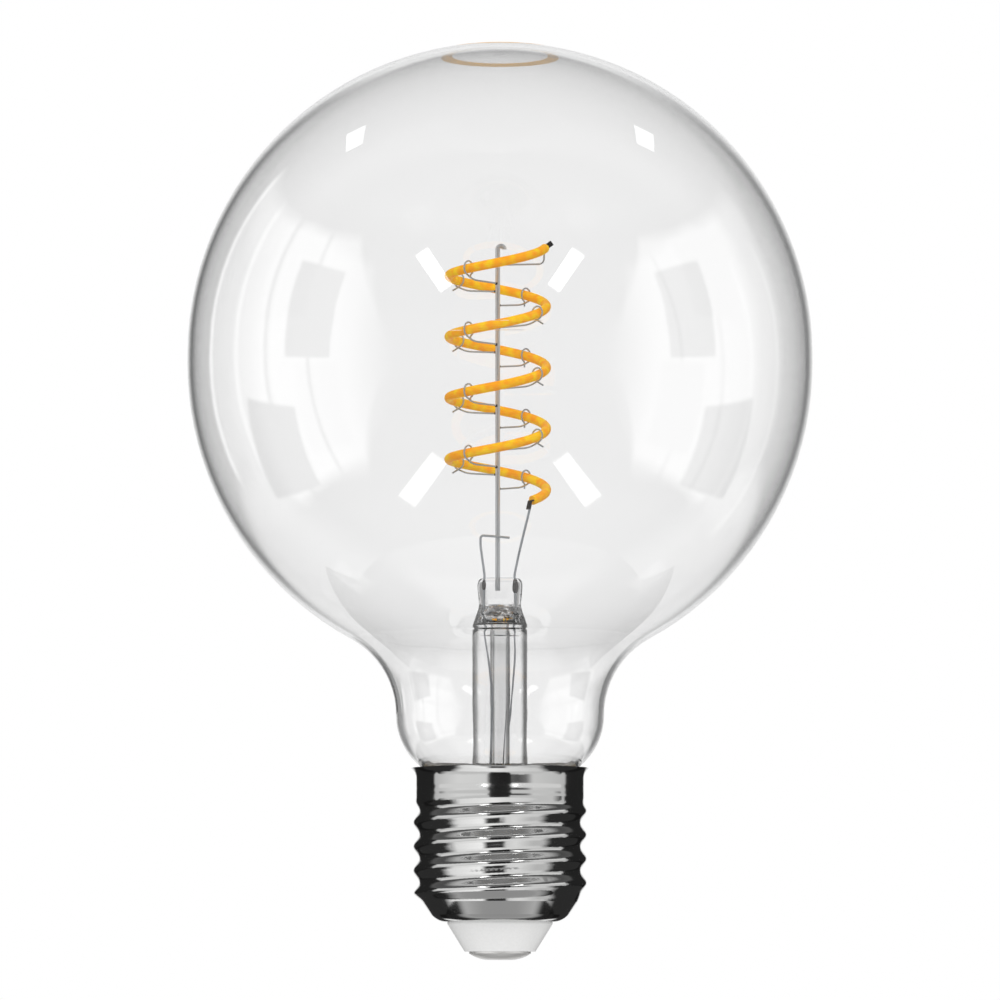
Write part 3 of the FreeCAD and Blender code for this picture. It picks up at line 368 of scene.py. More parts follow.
def plated_nickel(name, colour, mark):
    """Brass sheet, rolled, drawn and nickel plated: a mirror broken by marks that run round it, drawn coarser
    than the real ones so that they show."""
    material, tree = new_tree(name)
    place = node(tree, "ShaderNodeTexCoord")
    # the marks are 25 times as long round the cap as they are high
    stretched = node(tree, "ShaderNodeMapping", {
        "Vector": place.outputs["Object"], "Scale": (0.04, 0.04, 1.0)})
    marks = node(tree, "ShaderNodeTexNoise", {"Vector": stretched, "Scale": 1 / mark, "Detail": 2.0})
    bump = node(tree, "ShaderNodeBump", {"Strength": 0.12, "Distance": 0.02 * MM, "Height": marks})
    smears = node(tree, "ShaderNodeTexNoise", {
        "Vector": place.outputs["Object"], "Scale": 1 / (6 * MM), "Detail": 3.0})
    rough = node(tree, "ShaderNodeMapRange", {
        "Value": smears, "From Min": 0.3, "From Max": 0.7, "To Min": 0.07, "To Max": 0.13})
    parts = node(tree, "ShaderNodeSeparateXYZ", {0: place.outputs["Object"]})
    height = parts.outputs["Z"]
    foot, crest, end = CAP_BEAD
    rise = node(tree, "ShaderNodeMapRange", {
        "Value": height, "From Min": foot, "From Max": crest}, interpolation_type="SMOOTHSTEP")
    fall = node(tree, "ShaderNodeMapRange", {
        "Value": height, "From Min": crest, "From Max": end, "To Min": 1.0, "To Max": 0.0},
        interpolation_type="SMOOTHSTEP")
    bead = node(tree, "ShaderNodeMath", {0: rise, 1: fall}, operation="MULTIPLY")
    bump = node(tree, "ShaderNodeBump", {
        "Strength": 1.0, "Distance": 0.1 * MM, "Height": bead, "Normal": bump})
    metal = node(tree, "ShaderNodeBsdfPrincipled", {
        "Base Color": srgb(colour), "Metallic": 1.0, "Roughness": rough, "Normal": bump})
    node(tree, "ShaderNodeOutputMaterial", {"Surface": metal})
    return material


def drawn_wire(name, colour, roughness):
    """Nickel, molybdenum or other metal, drawn and annealed under a thin oxide: grey with a soft shine."""
    material, tree = new_tree(name)
    place = node(tree, "ShaderNodeTexCoord")
    grain = node(tree, "ShaderNodeTexNoise", {
        "Vector": place.outputs["Object"], "Scale": 1 / (0.6 * MM), "Detail": 2.0})
    rough = node(tree, "ShaderNodeMapRange", {
        "Value": grain, "To Min": roughness * 0.8, "To Max": roughness * 1.2})
    metal = node(tree, "ShaderNodeBsdfPrincipled", {
        "Base Color": srgb(colour), "Metallic": 0.75, "Roughness": rough})
    node(tree, "ShaderNodeOutputMaterial", {"Surface": metal})
    return material


def phosphor_silicone(name, colour, deep, chip_pitch):
    """Soft silicone loaded with yellow phosphor, dip coated: satin, deeper orange in blotches where it is
    thick, with a weak glow: partly the phosphor's own fluorescence in daylight, partly painted light that
    brightens the strand."""
    material, tree = new_tree(name)
    place = node(tree, "ShaderNodeTexCoord")
    blotches = node(tree, "ShaderNodeTexNoise", {
        "Vector": place.outputs["Object"], "Scale": 1 / (2.5 * MM), "Detail": 2.0})
    chips = node(tree, "ShaderNodeTexNoise", {
        "Vector": place.outputs["Object"], "Scale": 1 / chip_pitch, "Detail": 0.0})
    both = node(tree, "ShaderNodeMath", {0: blotches, 1: chips}, operation="MULTIPLY")
    thin = node(tree, "ShaderNodeMapRange", {"Value": both, "From Min": 0.15, "From Max": 0.38})
    tint = node(tree, "ShaderNodeMix", {"Factor": thin, "A": srgb(deep), "B": srgb(colour)}, data_type="RGBA")
    bump = node(tree, "ShaderNodeBump", {"Strength": 0.25, "Distance": 0.05 * MM, "Height": blotches})
    # painted light: the emission makes the unlit strand glow brighter than the lamps alone would light it
    jacket = node(tree, "ShaderNodeBsdfPrincipled", {
        "Base Color": tint, "Roughness": 0.38, "IOR": 1.43, "Subsurface Weight": 0.2,
        "Subsurface Radius": (0.4 * MM, 0.25 * MM, 0.05 * MM), "Subsurface Scale": 1.0,
        "Emission Color": tint, "Emission Strength": 0.32, "Normal": bump})
    node(tree, "ShaderNodeOutputMaterial", {"Surface": jacket})
    return material


def moulded_plastic(name, colour, roughness, grain_size):
    """Thermoplastic or epoxy, moulded: even colour with a fine moulded grain."""
    material, tree = new_tree(name)
    place = node(tree, "ShaderNodeTexCoord")
    grain = node(tree, "ShaderNodeTexNoise", {
        "Vector": place.outputs["Object"], "Scale": 1 / grain_size, "Detail": 3.0})
    shade = node(tree, "ShaderNodeMapRange", {"Value": grain, "To Min": 0.94, "To Max": 1.04})
    tint = node(tree, "ShaderNodeVectorMath", {0: srgb(colour)[:3], "Scale": shade}, operation="SCALE")
    bump = node(tree, "ShaderNodeBump", {"Strength": 0.15, "Distance": 0.02 * MM, "Height": grain})
    plastic = node(tree, "ShaderNodeBsdfPrincipled", {
        "Base Color": tint, "Roughness": roughness, "IOR": 1.5, "Normal": bump})
    node(tree, "ShaderNodeOutputMaterial", {"Surface": plastic})
    return material


def gold_print(name, colour):
    """Ceramic gold ink, screen printed and fired: dull gold, a little speckled, kept bright on the clear
    glass by a painted glow.
    """
    material, tree = new_tree(name)
    place = node(tree, "ShaderNodeTexCoord")
    speckle = node(tree, "ShaderNodeTexNoise", {
        "Vector": place.outputs["Object"], "Scale": 1 / (0.3 * MM), "Detail": 2.0})
    rough = node(tree, "ShaderNodeMapRange", {"Value": speckle, "To Min": 0.45, "To Max": 0.65})
    # painted light: the ink glows a little so that it stays bright though it is no lamp
    ink = node(tree, "ShaderNodeBsdfPrincipled", {
        "Base Color": srgb(colour), "Roughness": rough, "Specular IOR Level": 0.1,
        "Emission Color": srgb(colour), "Emission Strength": 0.6})
    node(tree, "ShaderNodeOutputMaterial", {"Surface": ink})
    return material


# Pieces


class BULB_OT_glass(bpy.types.Operator):
    """Give the globe and the exhaust tube their glass"""

    bl_idname = "bulb.glass"
    bl_label = "Glass"

    def execute(self, context):
        settings = context.scene.bulb_glass
        dress(["glass_globe"], clear_glass("blown_soda_lime_glass", settings.edge_tint_and_shade, settings.wave_size))
        dress(["exhaust_tube"], clear_glass("drawn_stem_glass", settings.edge_tint_and_shade, settings.wave_size / 4))
        return {"FINISHED"}


class BULB_OT_stem(bpy.types.Operator):
    """Model the melted glass mount: flare, tube, soft shoulder, pinched head and the bubble in its foot"""

    bl_idname = "bulb.stem"
    bl_label = "Glass mount"

    def execute(self, context):
        columns = 96
        steps = 3
        outline = smooth_line(STEM_HOLLOW, steps) + smooth_line(STEM_SKIN, steps)
        mesh = ring_mesh("melted_stem", squared_rings(outline, columns, STEM_FOOT), closed=False)
        close_ends(mesh, columns)
        glass = pressed_glass("pressed_stem_glass", context.scene.bulb_glass.edge_tint_and_shade)
        stem = mesh_piece("melted_stem", mesh, glass)
        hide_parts("stem_flare")
        sleeves = []
        for across, depth, radius, low, high in LEAD_SLEEVES:
            middle = Vector((across * MM, depth * MM, STEM_FOOT + (low + high) / 2 * MM))
            sleeves.append((middle, Vector((radius, radius, (high - low) / 2)) * MM))
        mesh = ball_mesh("lead_sleeves", sleeves, 24, 16)
        mesh_piece("lead_sleeves", mesh, drawn_wire("oxidised_sleeve", "3A3431", 0.45))
        return {"FINISHED"}


class BULB_OT_crown_ring(bpy.types.Operator):
    """Print a plain gold ring on the globe's crown"""

    bl_idname = "bulb.crown_ring"
    bl_label = "Crown ring"

    def execute(self, context):
        settings = context.scene.bulb_glass
        globe = (GLASS_HIGH.x - GLASS_LOW.x) / 2
        centre = GLASS_HIGH.z - globe
        ink = 0.01 * MM
        outline = []
        for radius in (settings.ring_radius, settings.ring_radius - settings.ring_width):
            outline.append((radius, centre + math.sqrt(globe ** 2 - radius ** 2) + ink))
        for radius, height in reversed(outline[:]):
            outline.append((radius, height + ink))
        mesh = ring_mesh("crown_ring", turned_rings(outline, 128), closed=True)
        mesh_piece("crown_ring", mesh, gold_print("fired_gold_ink", settings.gold))
        return {"FINISHED"}


class BULB_OT_cap(bpy.types.Operator):
    """Plate the screw shell, tin the centre contact, and give the insulator and the cement their look"""

    bl_idname = "bulb.cap"
    bl_label = "Cap"

    def execute(self, context):
        settings = context.scene.bulb_metal
        dress(["cap_shell"], plated_nickel("plated_nickel", settings.nickel, settings.rolling_mark))
        dress(["centre_contact"], drawn_wire("tinned_contact", "F8F7F5", 0.4))
        dress(["cap_insulator"], moulded_plastic("white_moulded_plastic", "F2F2F2", 0.3, 0.4 * MM))
        dress(["basing_cement"], moulded_plastic("baked_cement", "BDB3A0", 0.8, 0.5 * MM))
        return {"FINISHED"}


class BULB_OT_wires(bpy.types.Operator):
    """Give the post, hooks and leads their metal and set a weld bead at each hook's root"""

    bl_idname = "bulb.wires"
    bl_label = "Wires and welds"

    def execute(self, context):
        dress(["centre_rod"], drawn_wire("nickel_post", "F0F3F5", 0.35))
        dress(HOOKS + ["top_link_wire", "lead_wire_left", "lead_wire_right"],
              drawn_wire("annealed_wire", "DCE2E6", 0.45))
        dress(["filament_terminal_top", "filament_terminal_bottom"],
              drawn_wire("terminal_alloy", "3C3836", 0.4))
        dress(["contact_wire", "shell_wire"], drawn_wire("tinned_copper", "B8B4AE", 0.35))
        reach = context.scene.bulb_metal.bead_radius
        axis = Vector((POST_LOW.x + (POST_HIGH.y - POST_LOW.y) / 2, 0, 0))
        beads = []
        for name in HOOKS + ["top_link_wire"]:
            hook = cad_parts[name]
            points = [hook.matrix_world @ vertex.co for vertex in hook.data.vertices]
            root = min(points, key=lambda point: (point - axis).xy.length)
            near = [point for point in points if (point - root).length < reach]
            beads.append((sum(near, Vector()) / len(near), (reach, reach, reach)))
        mesh = ball_mesh("weld_beads", beads, 16, 10)
        mesh_piece("weld_beads", mesh, drawn_wire("weld_scale", "4C4845", 0.5))
        return {"FINISHED"}


class BULB_OT_strand(bpy.types.Operator):
    """Give the LED strand its phosphor jacket"""

    bl_idname = "bulb.strand"
    bl_label = "LED strand"

    def execute(self, context):
        settings = context.scene.bulb_strand
        dress(["led_filament"], phosphor_silicone(
            "phosphor_silicone", settings.phosphor, settings.phosphor_deep, settings.chip_pitch))
        return {"FINISHED"}


class BULB_OT_driver(bpy.types.Operator):
    """Give the parts of the driver inside the cap their finishes"""

    bl_idname = "bulb.driver"
    bl_label = "Driver"

    def execute(self, context):
        dress(["driver_board"], moulded_plastic("green_laminate", "1E6B33", 0.35, 0.8 * MM))
        dress(["bridge_rectifier", "driver_chip", "sense_resistor_1", "sense_resistor_2"],
              moulded_plastic("moulded_epoxy", "1B1B1D", 0.55, 0.1 * MM))
        dress(["smoothing_capacitor"], drawn_wire("drawn_aluminium_can", "C9CACC", 0.3))
        dress(["fusible_resistor"], moulded_plastic("resistor_lacquer", "4E7F97", 0.4, 0.3 * MM))
        dress(["chip_capacitor"], moulded_plastic("fired_ceramic", "B08B62", 0.5, 0.2 * MM))
        return {"FINISHED"}


# Studio


# Angles are in degrees: azimuth round from the front over the right, and elevation up from the horizon.
# A level of 1 is the white of the backdrop.
# Levels of the studio's walls by azimuth, as the sharp mirror of the glass shows them
WALLS = (
    (-170, 1.0), (-160, 0.2), (-152, 0.35), (-140, 0.4), (-134.2, 0.3), (-133.4, 1.5), (-132.2, 1.5),
    (-131.4, 0.8), (-114.4, 0.9), (-113.6, 1.6), (-112.4, 1.6), (-111.6, 1.0), (-96.3, 1.5), (-95.6, 0.2),
    (-94.6, 0.2), (-94, 1.5), (-75.8, 1.5), (-75.1, 0.2), (-74.1, 0.2), (-73.4, 1.5), (-60, 1.3), (-50, 0.8),
    (-40, 0.3), (40, 0.3), (50, 0.8), (60, 1.3), (104, 1.3), (112, 0.7), (124, 0.55), (128.5, 0.25),
    (158, 0.25), (170, 1.0),
)
# and as the softer mirror of the cap's metal shows them
METAL_WALLS = (
    (-168, 0.9), (-162, 0.02), (-104, 0.02), (-100, 0.6), (-60, 0.85), (-18, 0.82), (-14.5, 0.02), (14, 0.02),
    (15.5, 0.14), (24, 0.1), (36, 0.2), (42, 0.5), (46, 0.75), (100, 0.6), (104, 0.02), (162, 0.02),
    (168, 0.9),
)
# Levels above and below the walls by elevation, in the glass
HEIGHTS = (
    (-90, 0.4), (-60, 0.4), (-42, 0.3), (-12, 0.25), (12, 0.22), (36, 0.22), (44, 0.4), (76, 0.35),
    (82, 0.25),
)
# and in the metal
METAL_HEIGHTS = (
    (-90, 0.33), (-64, 0.36), (-50, 0.6), (-11, 0.7), (11, 0.8), (25, 0.85), (31, 0.12), (44, 0.08),
    (54, 0.55), (90, 0.6),
)
# The back wall of the globe mirrors less than its front wall
BACK_WALL_SHARE = 0.6

# Dark panes and lamps, the same at both sides: azimuth, elevation, half width, half height and lean.
# The panes show only in the glass, and their level is given for the globe's front wall and its back wall
PANES = (
    (73.9, 12.5, 10.5, 12.0, -6.0),
    (99.5, -20.0, 12.8, 11.5, -17.0),
)
PANE_LEVELS = (0.03, 0.6)
# One picture of a lamp shows in the front wall and one in the back wall
FRONT_LAMP = (25.5, 24.8, 2.5, 8.4, 39.0)
FRONT_LAMP_LEVEL = 5.0
BACK_LAMP = (35.5, 38.2, 3.4, 11.8, 47.0)
BACK_LAMP_LEVEL = 3.0
SOFT_EDGE = 0.05

# The softboxes: azimuth and elevation, then size, distance from the bulb and the place aimed at, in metres
SOFTBOX_PLACE = (31, 39)
SOFTBOX_SIZE = (0.35, 0.5)
SOFTBOX_DISTANCE = 0.9
SOFTBOX_AIM = (0, 0, 0.08)
# The rim lamps: size, the spot on the globe where each shows, the way to it from there and how far, in metres
RIM_LAMP_SIZE = (0.028, 0.015)
RIM_LAMP_POWER = 0.004
RIM_LAMP_SPOT = (0.0215, -0.0275, 0.1215)
RIM_LAMP_WAY = (0.527, 0.242, 0.815)
RIM_LAMP_DISTANCE = 0.15

# The card under the cap: radius of both its edges, the radii between which its inner levels give way to its
# outer ones, and how far it lies below the contact
CARD_EDGES = (18.5 * MM, 60 * MM)
CARD_CHANGE = (24 * MM, 29 * MM)
CARD_DROP = 2 * MM
# Its levels by azimuth
CARD_INNER_LEVELS = (
    (-80, 0.03), (-66, 0.9), (-22, 1.15), (-15, 0.03), (6, 0.03), (11, 0.8), (24, 0.9), (50, 0.6), (66, 0.6),
    (80, 0.03),
)
CARD_OUTER_LEVELS = (
    (-72, 0.03), (-56, 0.9), (-8, 1.05), (8, 0.9), (56, 0.75), (72, 0.03),
)
# The black flags: both ends of the foot, and how far below the contact they hang, in metres
FLAG_FOOT = ((0.080, 0.021), (0.044, 0.085))
FLAG_DROP = 0.06
FLAG_LEVEL = 0.01
FLOOR_REACH = 3.0


class BULB_OT_studio(bpy.types.Operator):
    """Set up the floor, the softboxes, the world and the camera"""

    bl_idname = "bulb.studio"
    bl_label = "Studio"

    def execute(self, context):
        settings = context.scene.bulb_studio
        self.lay_floor(settings)
        for side in (-1, 1):
            self.hang_softbox(settings, side)
            self.hang_rim_lamp(side)
            self.stand_flag(side)
        self.lay_bounce_card()
        self.paint_world(context.scene, settings)
        self.place_camera(context.scene, settings)
        context.scene.view_settings.view_transform = "Standard"
        return {"FINISHED"}

    def lay_floor(self, settings):
        """A pale floor well below the bulb."""
        mesh = bpy.data.meshes.new("floor")
        corners = [(x * FLOOR_REACH, y * FLOOR_REACH, 0) for x, y in ((-1, -1), (1, -1), (1, 1), (-1, 1))]
        mesh.from_pydata(corners, [], [(0, 1, 2, 3)])
        floor = bpy.data.objects.new("floor", mesh)
        floor.location.z = settings.floor_height
        material, tree = new_tree("pale_floor_paint")
        paint = node(tree, "ShaderNodeBsdfPrincipled", {"Base Color": srgb("F0F0EF"), "Roughness": 0.9})
        node(tree, "ShaderNodeOutputMaterial", {"Surface": paint})
        mesh.materials.append(material)
        bpy.context.scene.collection.objects.link(floor)
        floor.visible_glossy = False
        floor.visible_transmission = False

    def hang_lamp(self, name, size, power, aim, way, distance):
        """An oblong lamp at a distance from what it is aimed at, hidden from the camera and from glass."""
        light = bpy.data.lights.new(name, "AREA")
        light.shape = "RECTANGLE"
        light.size, light.size_y = size
        light.energy = power
        lamp = bpy.data.objects.new(name, light)
        lamp.location = aim + way * distance
        lamp.rotation_euler = (-way).to_track_quat("-Z", "Y").to_euler()
        lamp.visible_camera = False
        lamp.visible_transmission = False
        bpy.context.scene.collection.objects.link(lamp)
        return lamp

    def hang_softbox(self, settings, side):
        """A soft lamp high in front, to one side. What mirrors it shows is painted in the world."""
        azimuth, elevation = SOFTBOX_PLACE
        way = direction(azimuth * side, elevation)
        softbox = self.hang_lamp(
            "softbox", SOFTBOX_SIZE, settings.lamp_power, Vector(SOFTBOX_AIM), way, SOFTBOX_DISTANCE)
        softbox.visible_glossy = False

    def hang_rim_lamp(self, side):
        """A small lamp behind and above, near the globe, that puts a bright patch high on its side."""
        mirror = Vector((side, 1, 1))
        way = (Vector(RIM_LAMP_WAY) * mirror).normalized()
        rim = self.hang_lamp(
            "rim_lamp", RIM_LAMP_SIZE, RIM_LAMP_POWER, Vector(RIM_LAMP_SPOT) * mirror, way, RIM_LAMP_DISTANCE)
        rim.visible_diffuse = False

    def paint_world(self, scene, settings):
        """White behind the bulb, even light all round, and the studio itself in mirrors and bent glass."""
        world = bpy.data.worlds.new("studio_world")
        world.use_nodes = True
        # its level depends on the kind of ray that meets it, so it isn't sampled as a lamp
        world.cycles.sampling_method = "NONE"
        scene.world = world
        tree = world.node_tree
        tree.nodes.clear()
        way = node(tree, "ShaderNodeTexCoord")
        parts = node(tree, "ShaderNodeSeparateXYZ", {0: way.outputs["Generated"]})
        azimuth = self.azimuth_of(tree, parts)
        turned = node(tree, "ShaderNodeMath", {0: azimuth}, operation="ABSOLUTE")
        path = node(tree, "ShaderNodeLightPath")
        mirrored = node(tree, "ShaderNodeMath", {
            0: path.outputs["Glossy Depth"], 1: 0.5}, operation="GREATER_THAN")
        level = self.studio_level(tree, path, mirrored, parts, azimuth, turned)
        # glass lets the white backdrop through, and shows the studio only where light is bent far aside
        through = node(tree, "ShaderNodeMath", {
            0: path.outputs["Transmission Depth"], 1: 0.5}, operation="GREATER_THAN")
        far_aside = node(tree, "ShaderNodeMapRange", {"Value": turned, "From Min": 115, "From Max": 145})
        bent = node(tree, "ShaderNodeMath", {0: through, 1: far_aside}, operation="MULTIPLY")
        straight = node(tree, "ShaderNodeMix", {"Factor": bent, "A": 1.0, "B": level})
        seen = node(tree, "ShaderNodeMix", {"Factor": mirrored, "A": straight, "B": level})
        lit = node(tree, "ShaderNodeMath", {
            0: path.outputs["Diffuse Depth"], 1: 0.5}, operation="GREATER_THAN")
        strength = node(tree, "ShaderNodeMix", {"Factor": lit, "A": seen, "B": settings.ambient})
        light = node(tree, "ShaderNodeBackground", {"Color": srgb("FFFFFF"), "Strength": strength})
        node(tree, "ShaderNodeOutputWorld", {"Surface": light})

    def studio_level(self, tree, path, mirrored, parts, azimuth, turned):
        """The studio where a ray meets it: bright screens at both sides, dark between them and the backdrop,
        and two lamps high in front."""
        rise = node(tree, "ShaderNodeMath", {0: parts.outputs["Z"]}, operation="ARCSINE")
        elevation = node(tree, "ShaderNodeMath", {0: rise}, operation="DEGREES")
        # glass is smooth and the metal a little rough, which tells their rays apart
        sharp = path.outputs["Is Singular Ray"]
        level = node(tree, "ShaderNodeMix", {
            "Factor": sharp, "A": self.studio_in_metal(tree, azimuth, turned, elevation),
            "B": self.studio_in_glass(tree, azimuth, turned, elevation)})
        # a ray that the globe's back wall mirrors has crossed more than two faces of glass
        crossed = node(tree, "ShaderNodeMath", {
            0: path.outputs["Transmission Depth"], 1: 2.5}, operation="GREATER_THAN")
        in_back = node(tree, "ShaderNodeMath", {0: mirrored, 1: crossed}, operation="MULTIPLY")
        in_front = node(tree, "ShaderNodeMath", {0: 1.0, 1: in_back}, operation="SUBTRACT")
        share = node(tree, "ShaderNodeMix", {"Factor": in_back, "A": 1.0, "B": BACK_WALL_SHARE})
        level = node(tree, "ShaderNodeMath", {0: level, 1: share}, operation="MULTIPLY")
        pane_front, pane_back = PANE_LEVELS
        pane_level = node(tree, "ShaderNodeMix", {"Factor": in_back, "A": pane_front, "B": pane_back})
        screens = [(pane, sharp, pane_level) for pane in PANES]
        screens.append((FRONT_LAMP, in_front, FRONT_LAMP_LEVEL))
        screens.append((BACK_LAMP, in_back, BACK_LAMP_LEVEL))
        aside = node(tree, "ShaderNodeMath", {0: parts.outputs["X"]}, operation="ABSOLUTE")
        folded = node(tree, "ShaderNodeCombineXYZ", {
            "X": aside, "Y": parts.outputs["Y"], "Z": parts.outputs["Z"]})
        for screen, shows, screen_level in screens:
            inside = self.screen_outline(tree, folded, screen)
            inside = node(tree, "ShaderNodeMath", {0: inside, 1: shows}, operation="MULTIPLY")
            level = node(tree, "ShaderNodeMix", {"Factor": inside, "A": level, "B": screen_level})
        return level

    def azimuth_of(self, tree, parts):
        """Degrees round from the front, over the right, of a split direction or place."""
        towards = node(tree, "ShaderNodeMath", {0: parts.outputs["Y"], 1: -1.0}, operation="MULTIPLY")
        turn = node(tree, "ShaderNodeMath", {0: parts.outputs["X"], 1: towards}, operation="ARCTAN2")
        return node(tree, "ShaderNodeMath", {0: turn}, operation="DEGREES")

    def studio_in_glass(self, tree, azimuth, turned, elevation):
        """The walls and the room as the sharp mirror of the glass shows them."""
        # behind the bulb the sheet that it stands before is lit low down, and dark above
        sheet = node(tree, "ShaderNodeMapRange", {
            "Value": elevation, "From Min": -20, "From Max": -5, "To Min": 0.95, "To Max": 0.25})
        behind = node(tree, "ShaderNodeMapRange", {"Value": turned, "From Min": 95, "From Max": 115})
        room = node(tree, "ShaderNodeMix", {
            "Factor": behind, "A": self.grey_ramp(tree, elevation, 90, HEIGHTS), "B": sheet})
        # the walls are low in front and high at the sides, and reach less far down at the back
        high = node(tree, "ShaderNodeMapRange", {
            "Value": turned, "From Min": 45, "From Max": 60, "To Min": 10, "To Max": 34})
        back = node(tree, "ShaderNodeMapRange", {"Value": turned, "From Min": 105, "From Max": 122})
        deep = node(tree, "ShaderNodeMix", {"Factor": back, "A": high, "B": 14})
        below = node(tree, "ShaderNodeMath", {0: elevation, 1: 0.0}, operation="LESS_THAN")
        reach = node(tree, "ShaderNodeMix", {"Factor": below, "A": high, "B": deep})
        return self.stand_walls(tree, elevation, reach, room, self.grey_ramp(tree, azimuth, 180, WALLS))

    def studio_in_metal(self, tree, azimuth, turned, elevation):
        """The walls and the room as the softer mirror of the cap's metal shows them."""
        # nothing is lit low down behind the bulb
        floor_ends = node(tree, "ShaderNodeMapRange", {"Value": elevation, "From Min": -60, "From Max": -50})
        wall_starts = node(tree, "ShaderNodeMapRange", {
            "Value": elevation, "From Min": -4, "From Max": 4, "To Min": 1.0, "To Max": 0.0})
        low = node(tree, "ShaderNodeMath", {0: floor_ends, 1: wall_starts}, operation="MULTIPLY")
        unlit = node(tree, "ShaderNodeMapRange", {
            "Value": turned, "From Min": 80, "From Max": 96, "To Min": 1.0, "To Max": 0.03})
        dim = node(tree, "ShaderNodeMix", {"Factor": low, "A": 1.0, "B": unlit})
        room = node(tree, "ShaderNodeMath", {
            0: self.grey_ramp(tree, elevation, 90, METAL_HEIGHTS), 1: dim}, operation="MULTIPLY")
        # the walls are high in front and at the back, and low between
        front = node(tree, "ShaderNodeMapRange", {
            "Value": turned, "From Min": 13, "From Max": 16, "To Min": 26, "To Max": 10})
        back = node(tree, "ShaderNodeMapRange", {"Value": turned, "From Min": 92, "From Max": 108})
        reach = node(tree, "ShaderNodeMix", {"Factor": back, "A": front, "B": 32})
        return self.stand_walls(tree, elevation, reach, room, self.grey_ramp(tree, azimuth, 180, METAL_WALLS))

    def stand_walls(self, tree, elevation, reach, room, walls):
        """The walls as far up and down as they reach, with a soft edge, and the room past them."""
        slope = node(tree, "ShaderNodeMath", {0: elevation}, operation="ABSOLUTE")
        over = node(tree, "ShaderNodeMath", {0: slope, 1: reach}, operation="SUBTRACT")
        within = node(tree, "ShaderNodeMapRange", {
            "Value": over, "From Min": -2, "From Max": 2, "To Min": 1.0, "To Max": 0.0})
        return node(tree, "ShaderNodeMix", {"Factor": within, "A": room, "B": walls})

    def grey_ramp(self, tree, angle, reach, stops):
        """Levels between (angle, level) stops, for an angle that goes from minus to plus its reach."""
        share = node(tree, "ShaderNodeMapRange", {"Value": angle, "From Min": -reach, "From Max": reach})
        ramp = node(tree, "ShaderNodeValToRGB", {"Fac": share})
        elements = ramp.color_ramp.elements
        elements.remove(elements[0])
        for _ in stops[1:]:
            elements.new(1.0)
        for element, (place, level) in zip(elements, stops):
            element.position = (place + reach) / (2 * reach)
            element.color = (level, level, level, 1.0)
        return ramp

    def screen_outline(self, tree, folded, screen):
        """1 inside the picture of a leaning oblong and 0 outside it, with a soft edge."""
        azimuth, elevation, half_width, half_height, lean = screen
        ahead = direction(azimuth, elevation)
        sideways = direction(azimuth + 90, 0)
        upright = ahead.cross(sideways)
        lean = math.radians(lean)
        along = sideways * math.sin(lean) + upright * math.cos(lean)
        across = sideways * math.cos(lean) - upright * math.sin(lean)
        near = node(tree, "ShaderNodeVectorMath", {0: folded, 1: ahead}, operation="DOT_PRODUCT")
        # only on the screen's own side of the studio
        inside = node(tree, "ShaderNodeMath", {0: near, 1: 0.2}, operation="GREATER_THAN")
        for axis, half in ((across, half_width), (along, half_height)):
            off = node(tree, "ShaderNodeVectorMath", {0: folded, 1: axis}, operation="DOT_PRODUCT")
            slope = node(tree, "ShaderNodeMath", {0: off, 1: near}, operation="DIVIDE")
            size = node(tree, "ShaderNodeMath", {0: slope}, operation="ABSOLUTE")
            edge = math.tan(math.radians(half))
            within = node(tree, "ShaderNodeMapRange", {
                "Value": size, "From Min": edge * (1 - SOFT_EDGE), "From Max": edge * (1 + SOFT_EDGE),
                "To Min": 1.0, "To Max": 0.0})
            inside = node(tree, "ShaderNodeMath", {0: inside, 1: within}, operation="MULTIPLY")
        return inside

    def lay_bounce_card(self):
        """A white ring of card close under the cap, darker in front where the camera stands, seen only in the
        metal and the glass."""
        rings = turned_rings([(edge, 0.0) for edge in CARD_EDGES], 48)
        card = bpy.data.objects.new("bounce_card", ring_mesh("bounce_card", rings, closed=False))
        card.location.z = -CARD_DROP
        tree = self.show_in_mirrors(card, "white_card")
        place = node(tree, "ShaderNodeTexCoord")
        parts = node(tree, "ShaderNodeSeparateXYZ", {0: place.outputs["Object"]})
        azimuth = self.azimuth_of(tree, parts)
        away = node(tree, "ShaderNodeVectorMath", {0: place.outputs["Object"]}, operation="LENGTH")
        outer = node(tree, "ShaderNodeMapRange", {
            "Value": away, "From Min": CARD_CHANGE[0], "From Max": CARD_CHANGE[1]})
        level = node(tree, "ShaderNodeMix", {
            "Factor": outer, "A": self.grey_ramp(tree, azimuth, 180, CARD_INNER_LEVELS),
            "B": self.grey_ramp(tree, azimuth, 180, CARD_OUTER_LEVELS)})
        light = node(tree, "ShaderNodeEmission", {"Color": srgb("FFFFFF"), "Strength": level})
        node(tree, "ShaderNodeOutputMaterial", {"Surface": light})

    def stand_flag(self, side):
        """A black flag beside and behind the cap, seen only in the metal and the glass."""
        mesh = bpy.data.meshes.new("black_flag")
        mesh.from_pydata(
            [(x * side, y, z) for x, y in FLAG_FOOT for z in (-FLAG_DROP, 0.0)], [], [(0, 1, 3, 2)])
        tree = self.show_in_mirrors(bpy.data.objects.new("black_flag", mesh), "black_felt")
        felt = node(tree, "ShaderNodeEmission", {"Color": srgb("FFFFFF"), "Strength": FLAG_LEVEL})
        node(tree, "ShaderNodeOutputMaterial", {"Surface": felt})

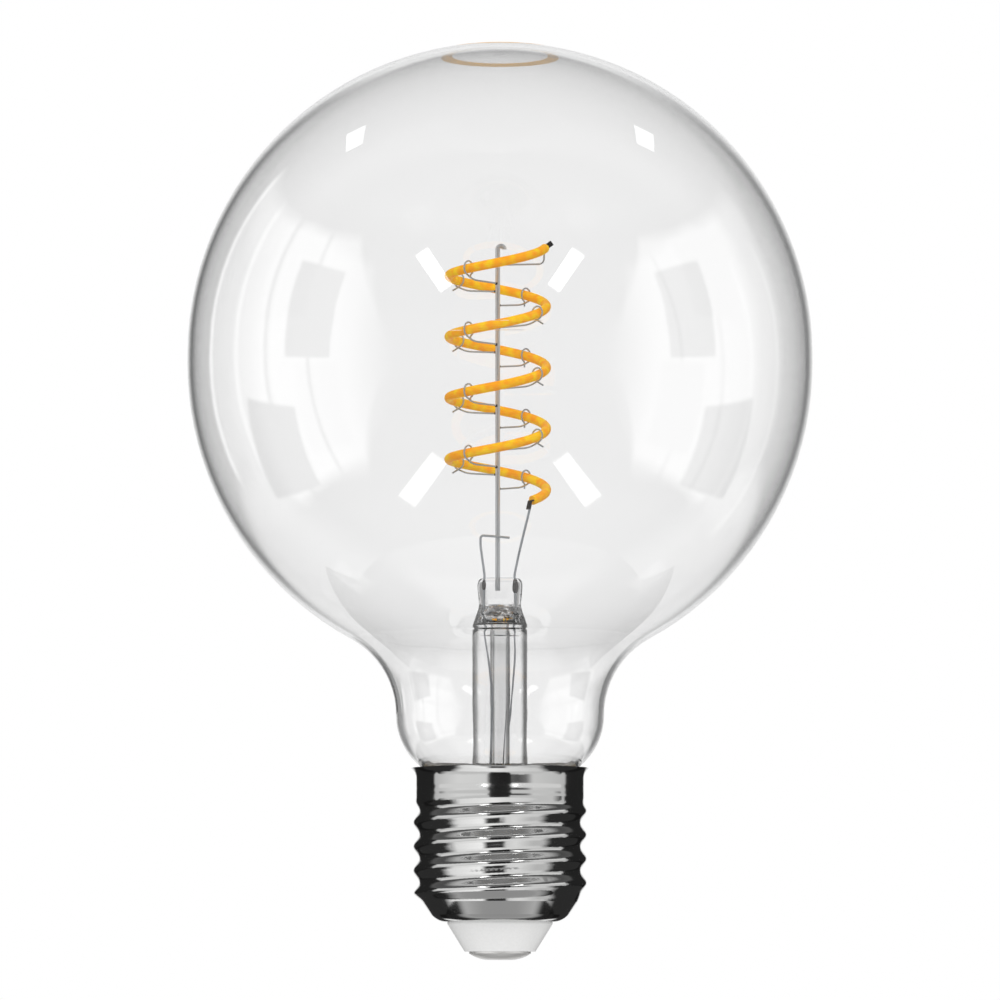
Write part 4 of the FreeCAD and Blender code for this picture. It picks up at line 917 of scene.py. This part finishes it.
    def show_in_mirrors(self, piece, name):
        """Hide a part of the studio from all but mirror rays; returns its material's empty node tree."""
        material, tree = new_tree(name)
        piece.data.materials.append(material)
        bpy.context.scene.collection.objects.link(piece)
        piece.visible_camera = False
        piece.visible_diffuse = False
        piece.visible_transmission = False
        piece.visible_shadow = False
        return tree

    def place_camera(self, scene, settings):
        """A long lens from a little below the cap, tilted up to the middle of the bulb."""
        camera = bpy.data.cameras.new("camera")
        viewer = bpy.data.objects.new("camera", camera)
        viewer.location = (0, -settings.camera_distance, settings.camera_height)
        way = Vector((0, 0, settings.aim_height)) - viewer.location
        viewer.rotation_euler = way.to_track_quat("-Z", "Y").to_euler()
        camera.sensor_width = 36.0
        camera.lens = camera.sensor_width * way.length / settings.field_width
        camera.clip_end = 20.0
        scene.collection.objects.link(viewer)
        scene.camera = viewer


class BULB_PT_panel(bpy.types.Panel):
    """Lists the steps that dress the bulb"""

    bl_idname = "BULB_PT_panel"
    bl_label = "Globe bulb"
    bl_space_type = "VIEW_3D"
    bl_region_type = "UI"
    bl_category = "Globe bulb"

    def draw(self, context):
        for step in STEPS:
            self.layout.operator(step.bl_idname)


SETTINGS = {
    "bulb_glass": GlassSettings,
    "bulb_metal": MetalSettings,
    "bulb_strand": StrandSettings,
    "bulb_studio": StudioSettings,
}
STEPS = (
    BULB_OT_glass, BULB_OT_stem, BULB_OT_crown_ring, BULB_OT_cap, BULB_OT_wires, BULB_OT_strand,
    BULB_OT_driver, BULB_OT_studio,
)


def register():
    """Register the settings, the steps and the panel."""
    for name, group in SETTINGS.items():
        bpy.utils.register_class(group)
        setattr(bpy.types.Scene, name, bpy.props.PointerProperty(type=group))
    for step in STEPS + (BULB_PT_panel,):
        bpy.utils.register_class(step)


def unregister():
    """Undo register()."""
    for step in reversed(STEPS + (BULB_PT_panel,)):
        bpy.utils.unregister_class(step)
    for name, group in SETTINGS.items():
        delattr(bpy.types.Scene, name)
        bpy.utils.unregister_class(group)


def main():
    """Dress the bulb step by step."""
    register()
    for step in STEPS:
        group, name = step.bl_idname.split(".")
        getattr(getattr(bpy.ops, group), name)()


if __name__ == "__main__":
    main()
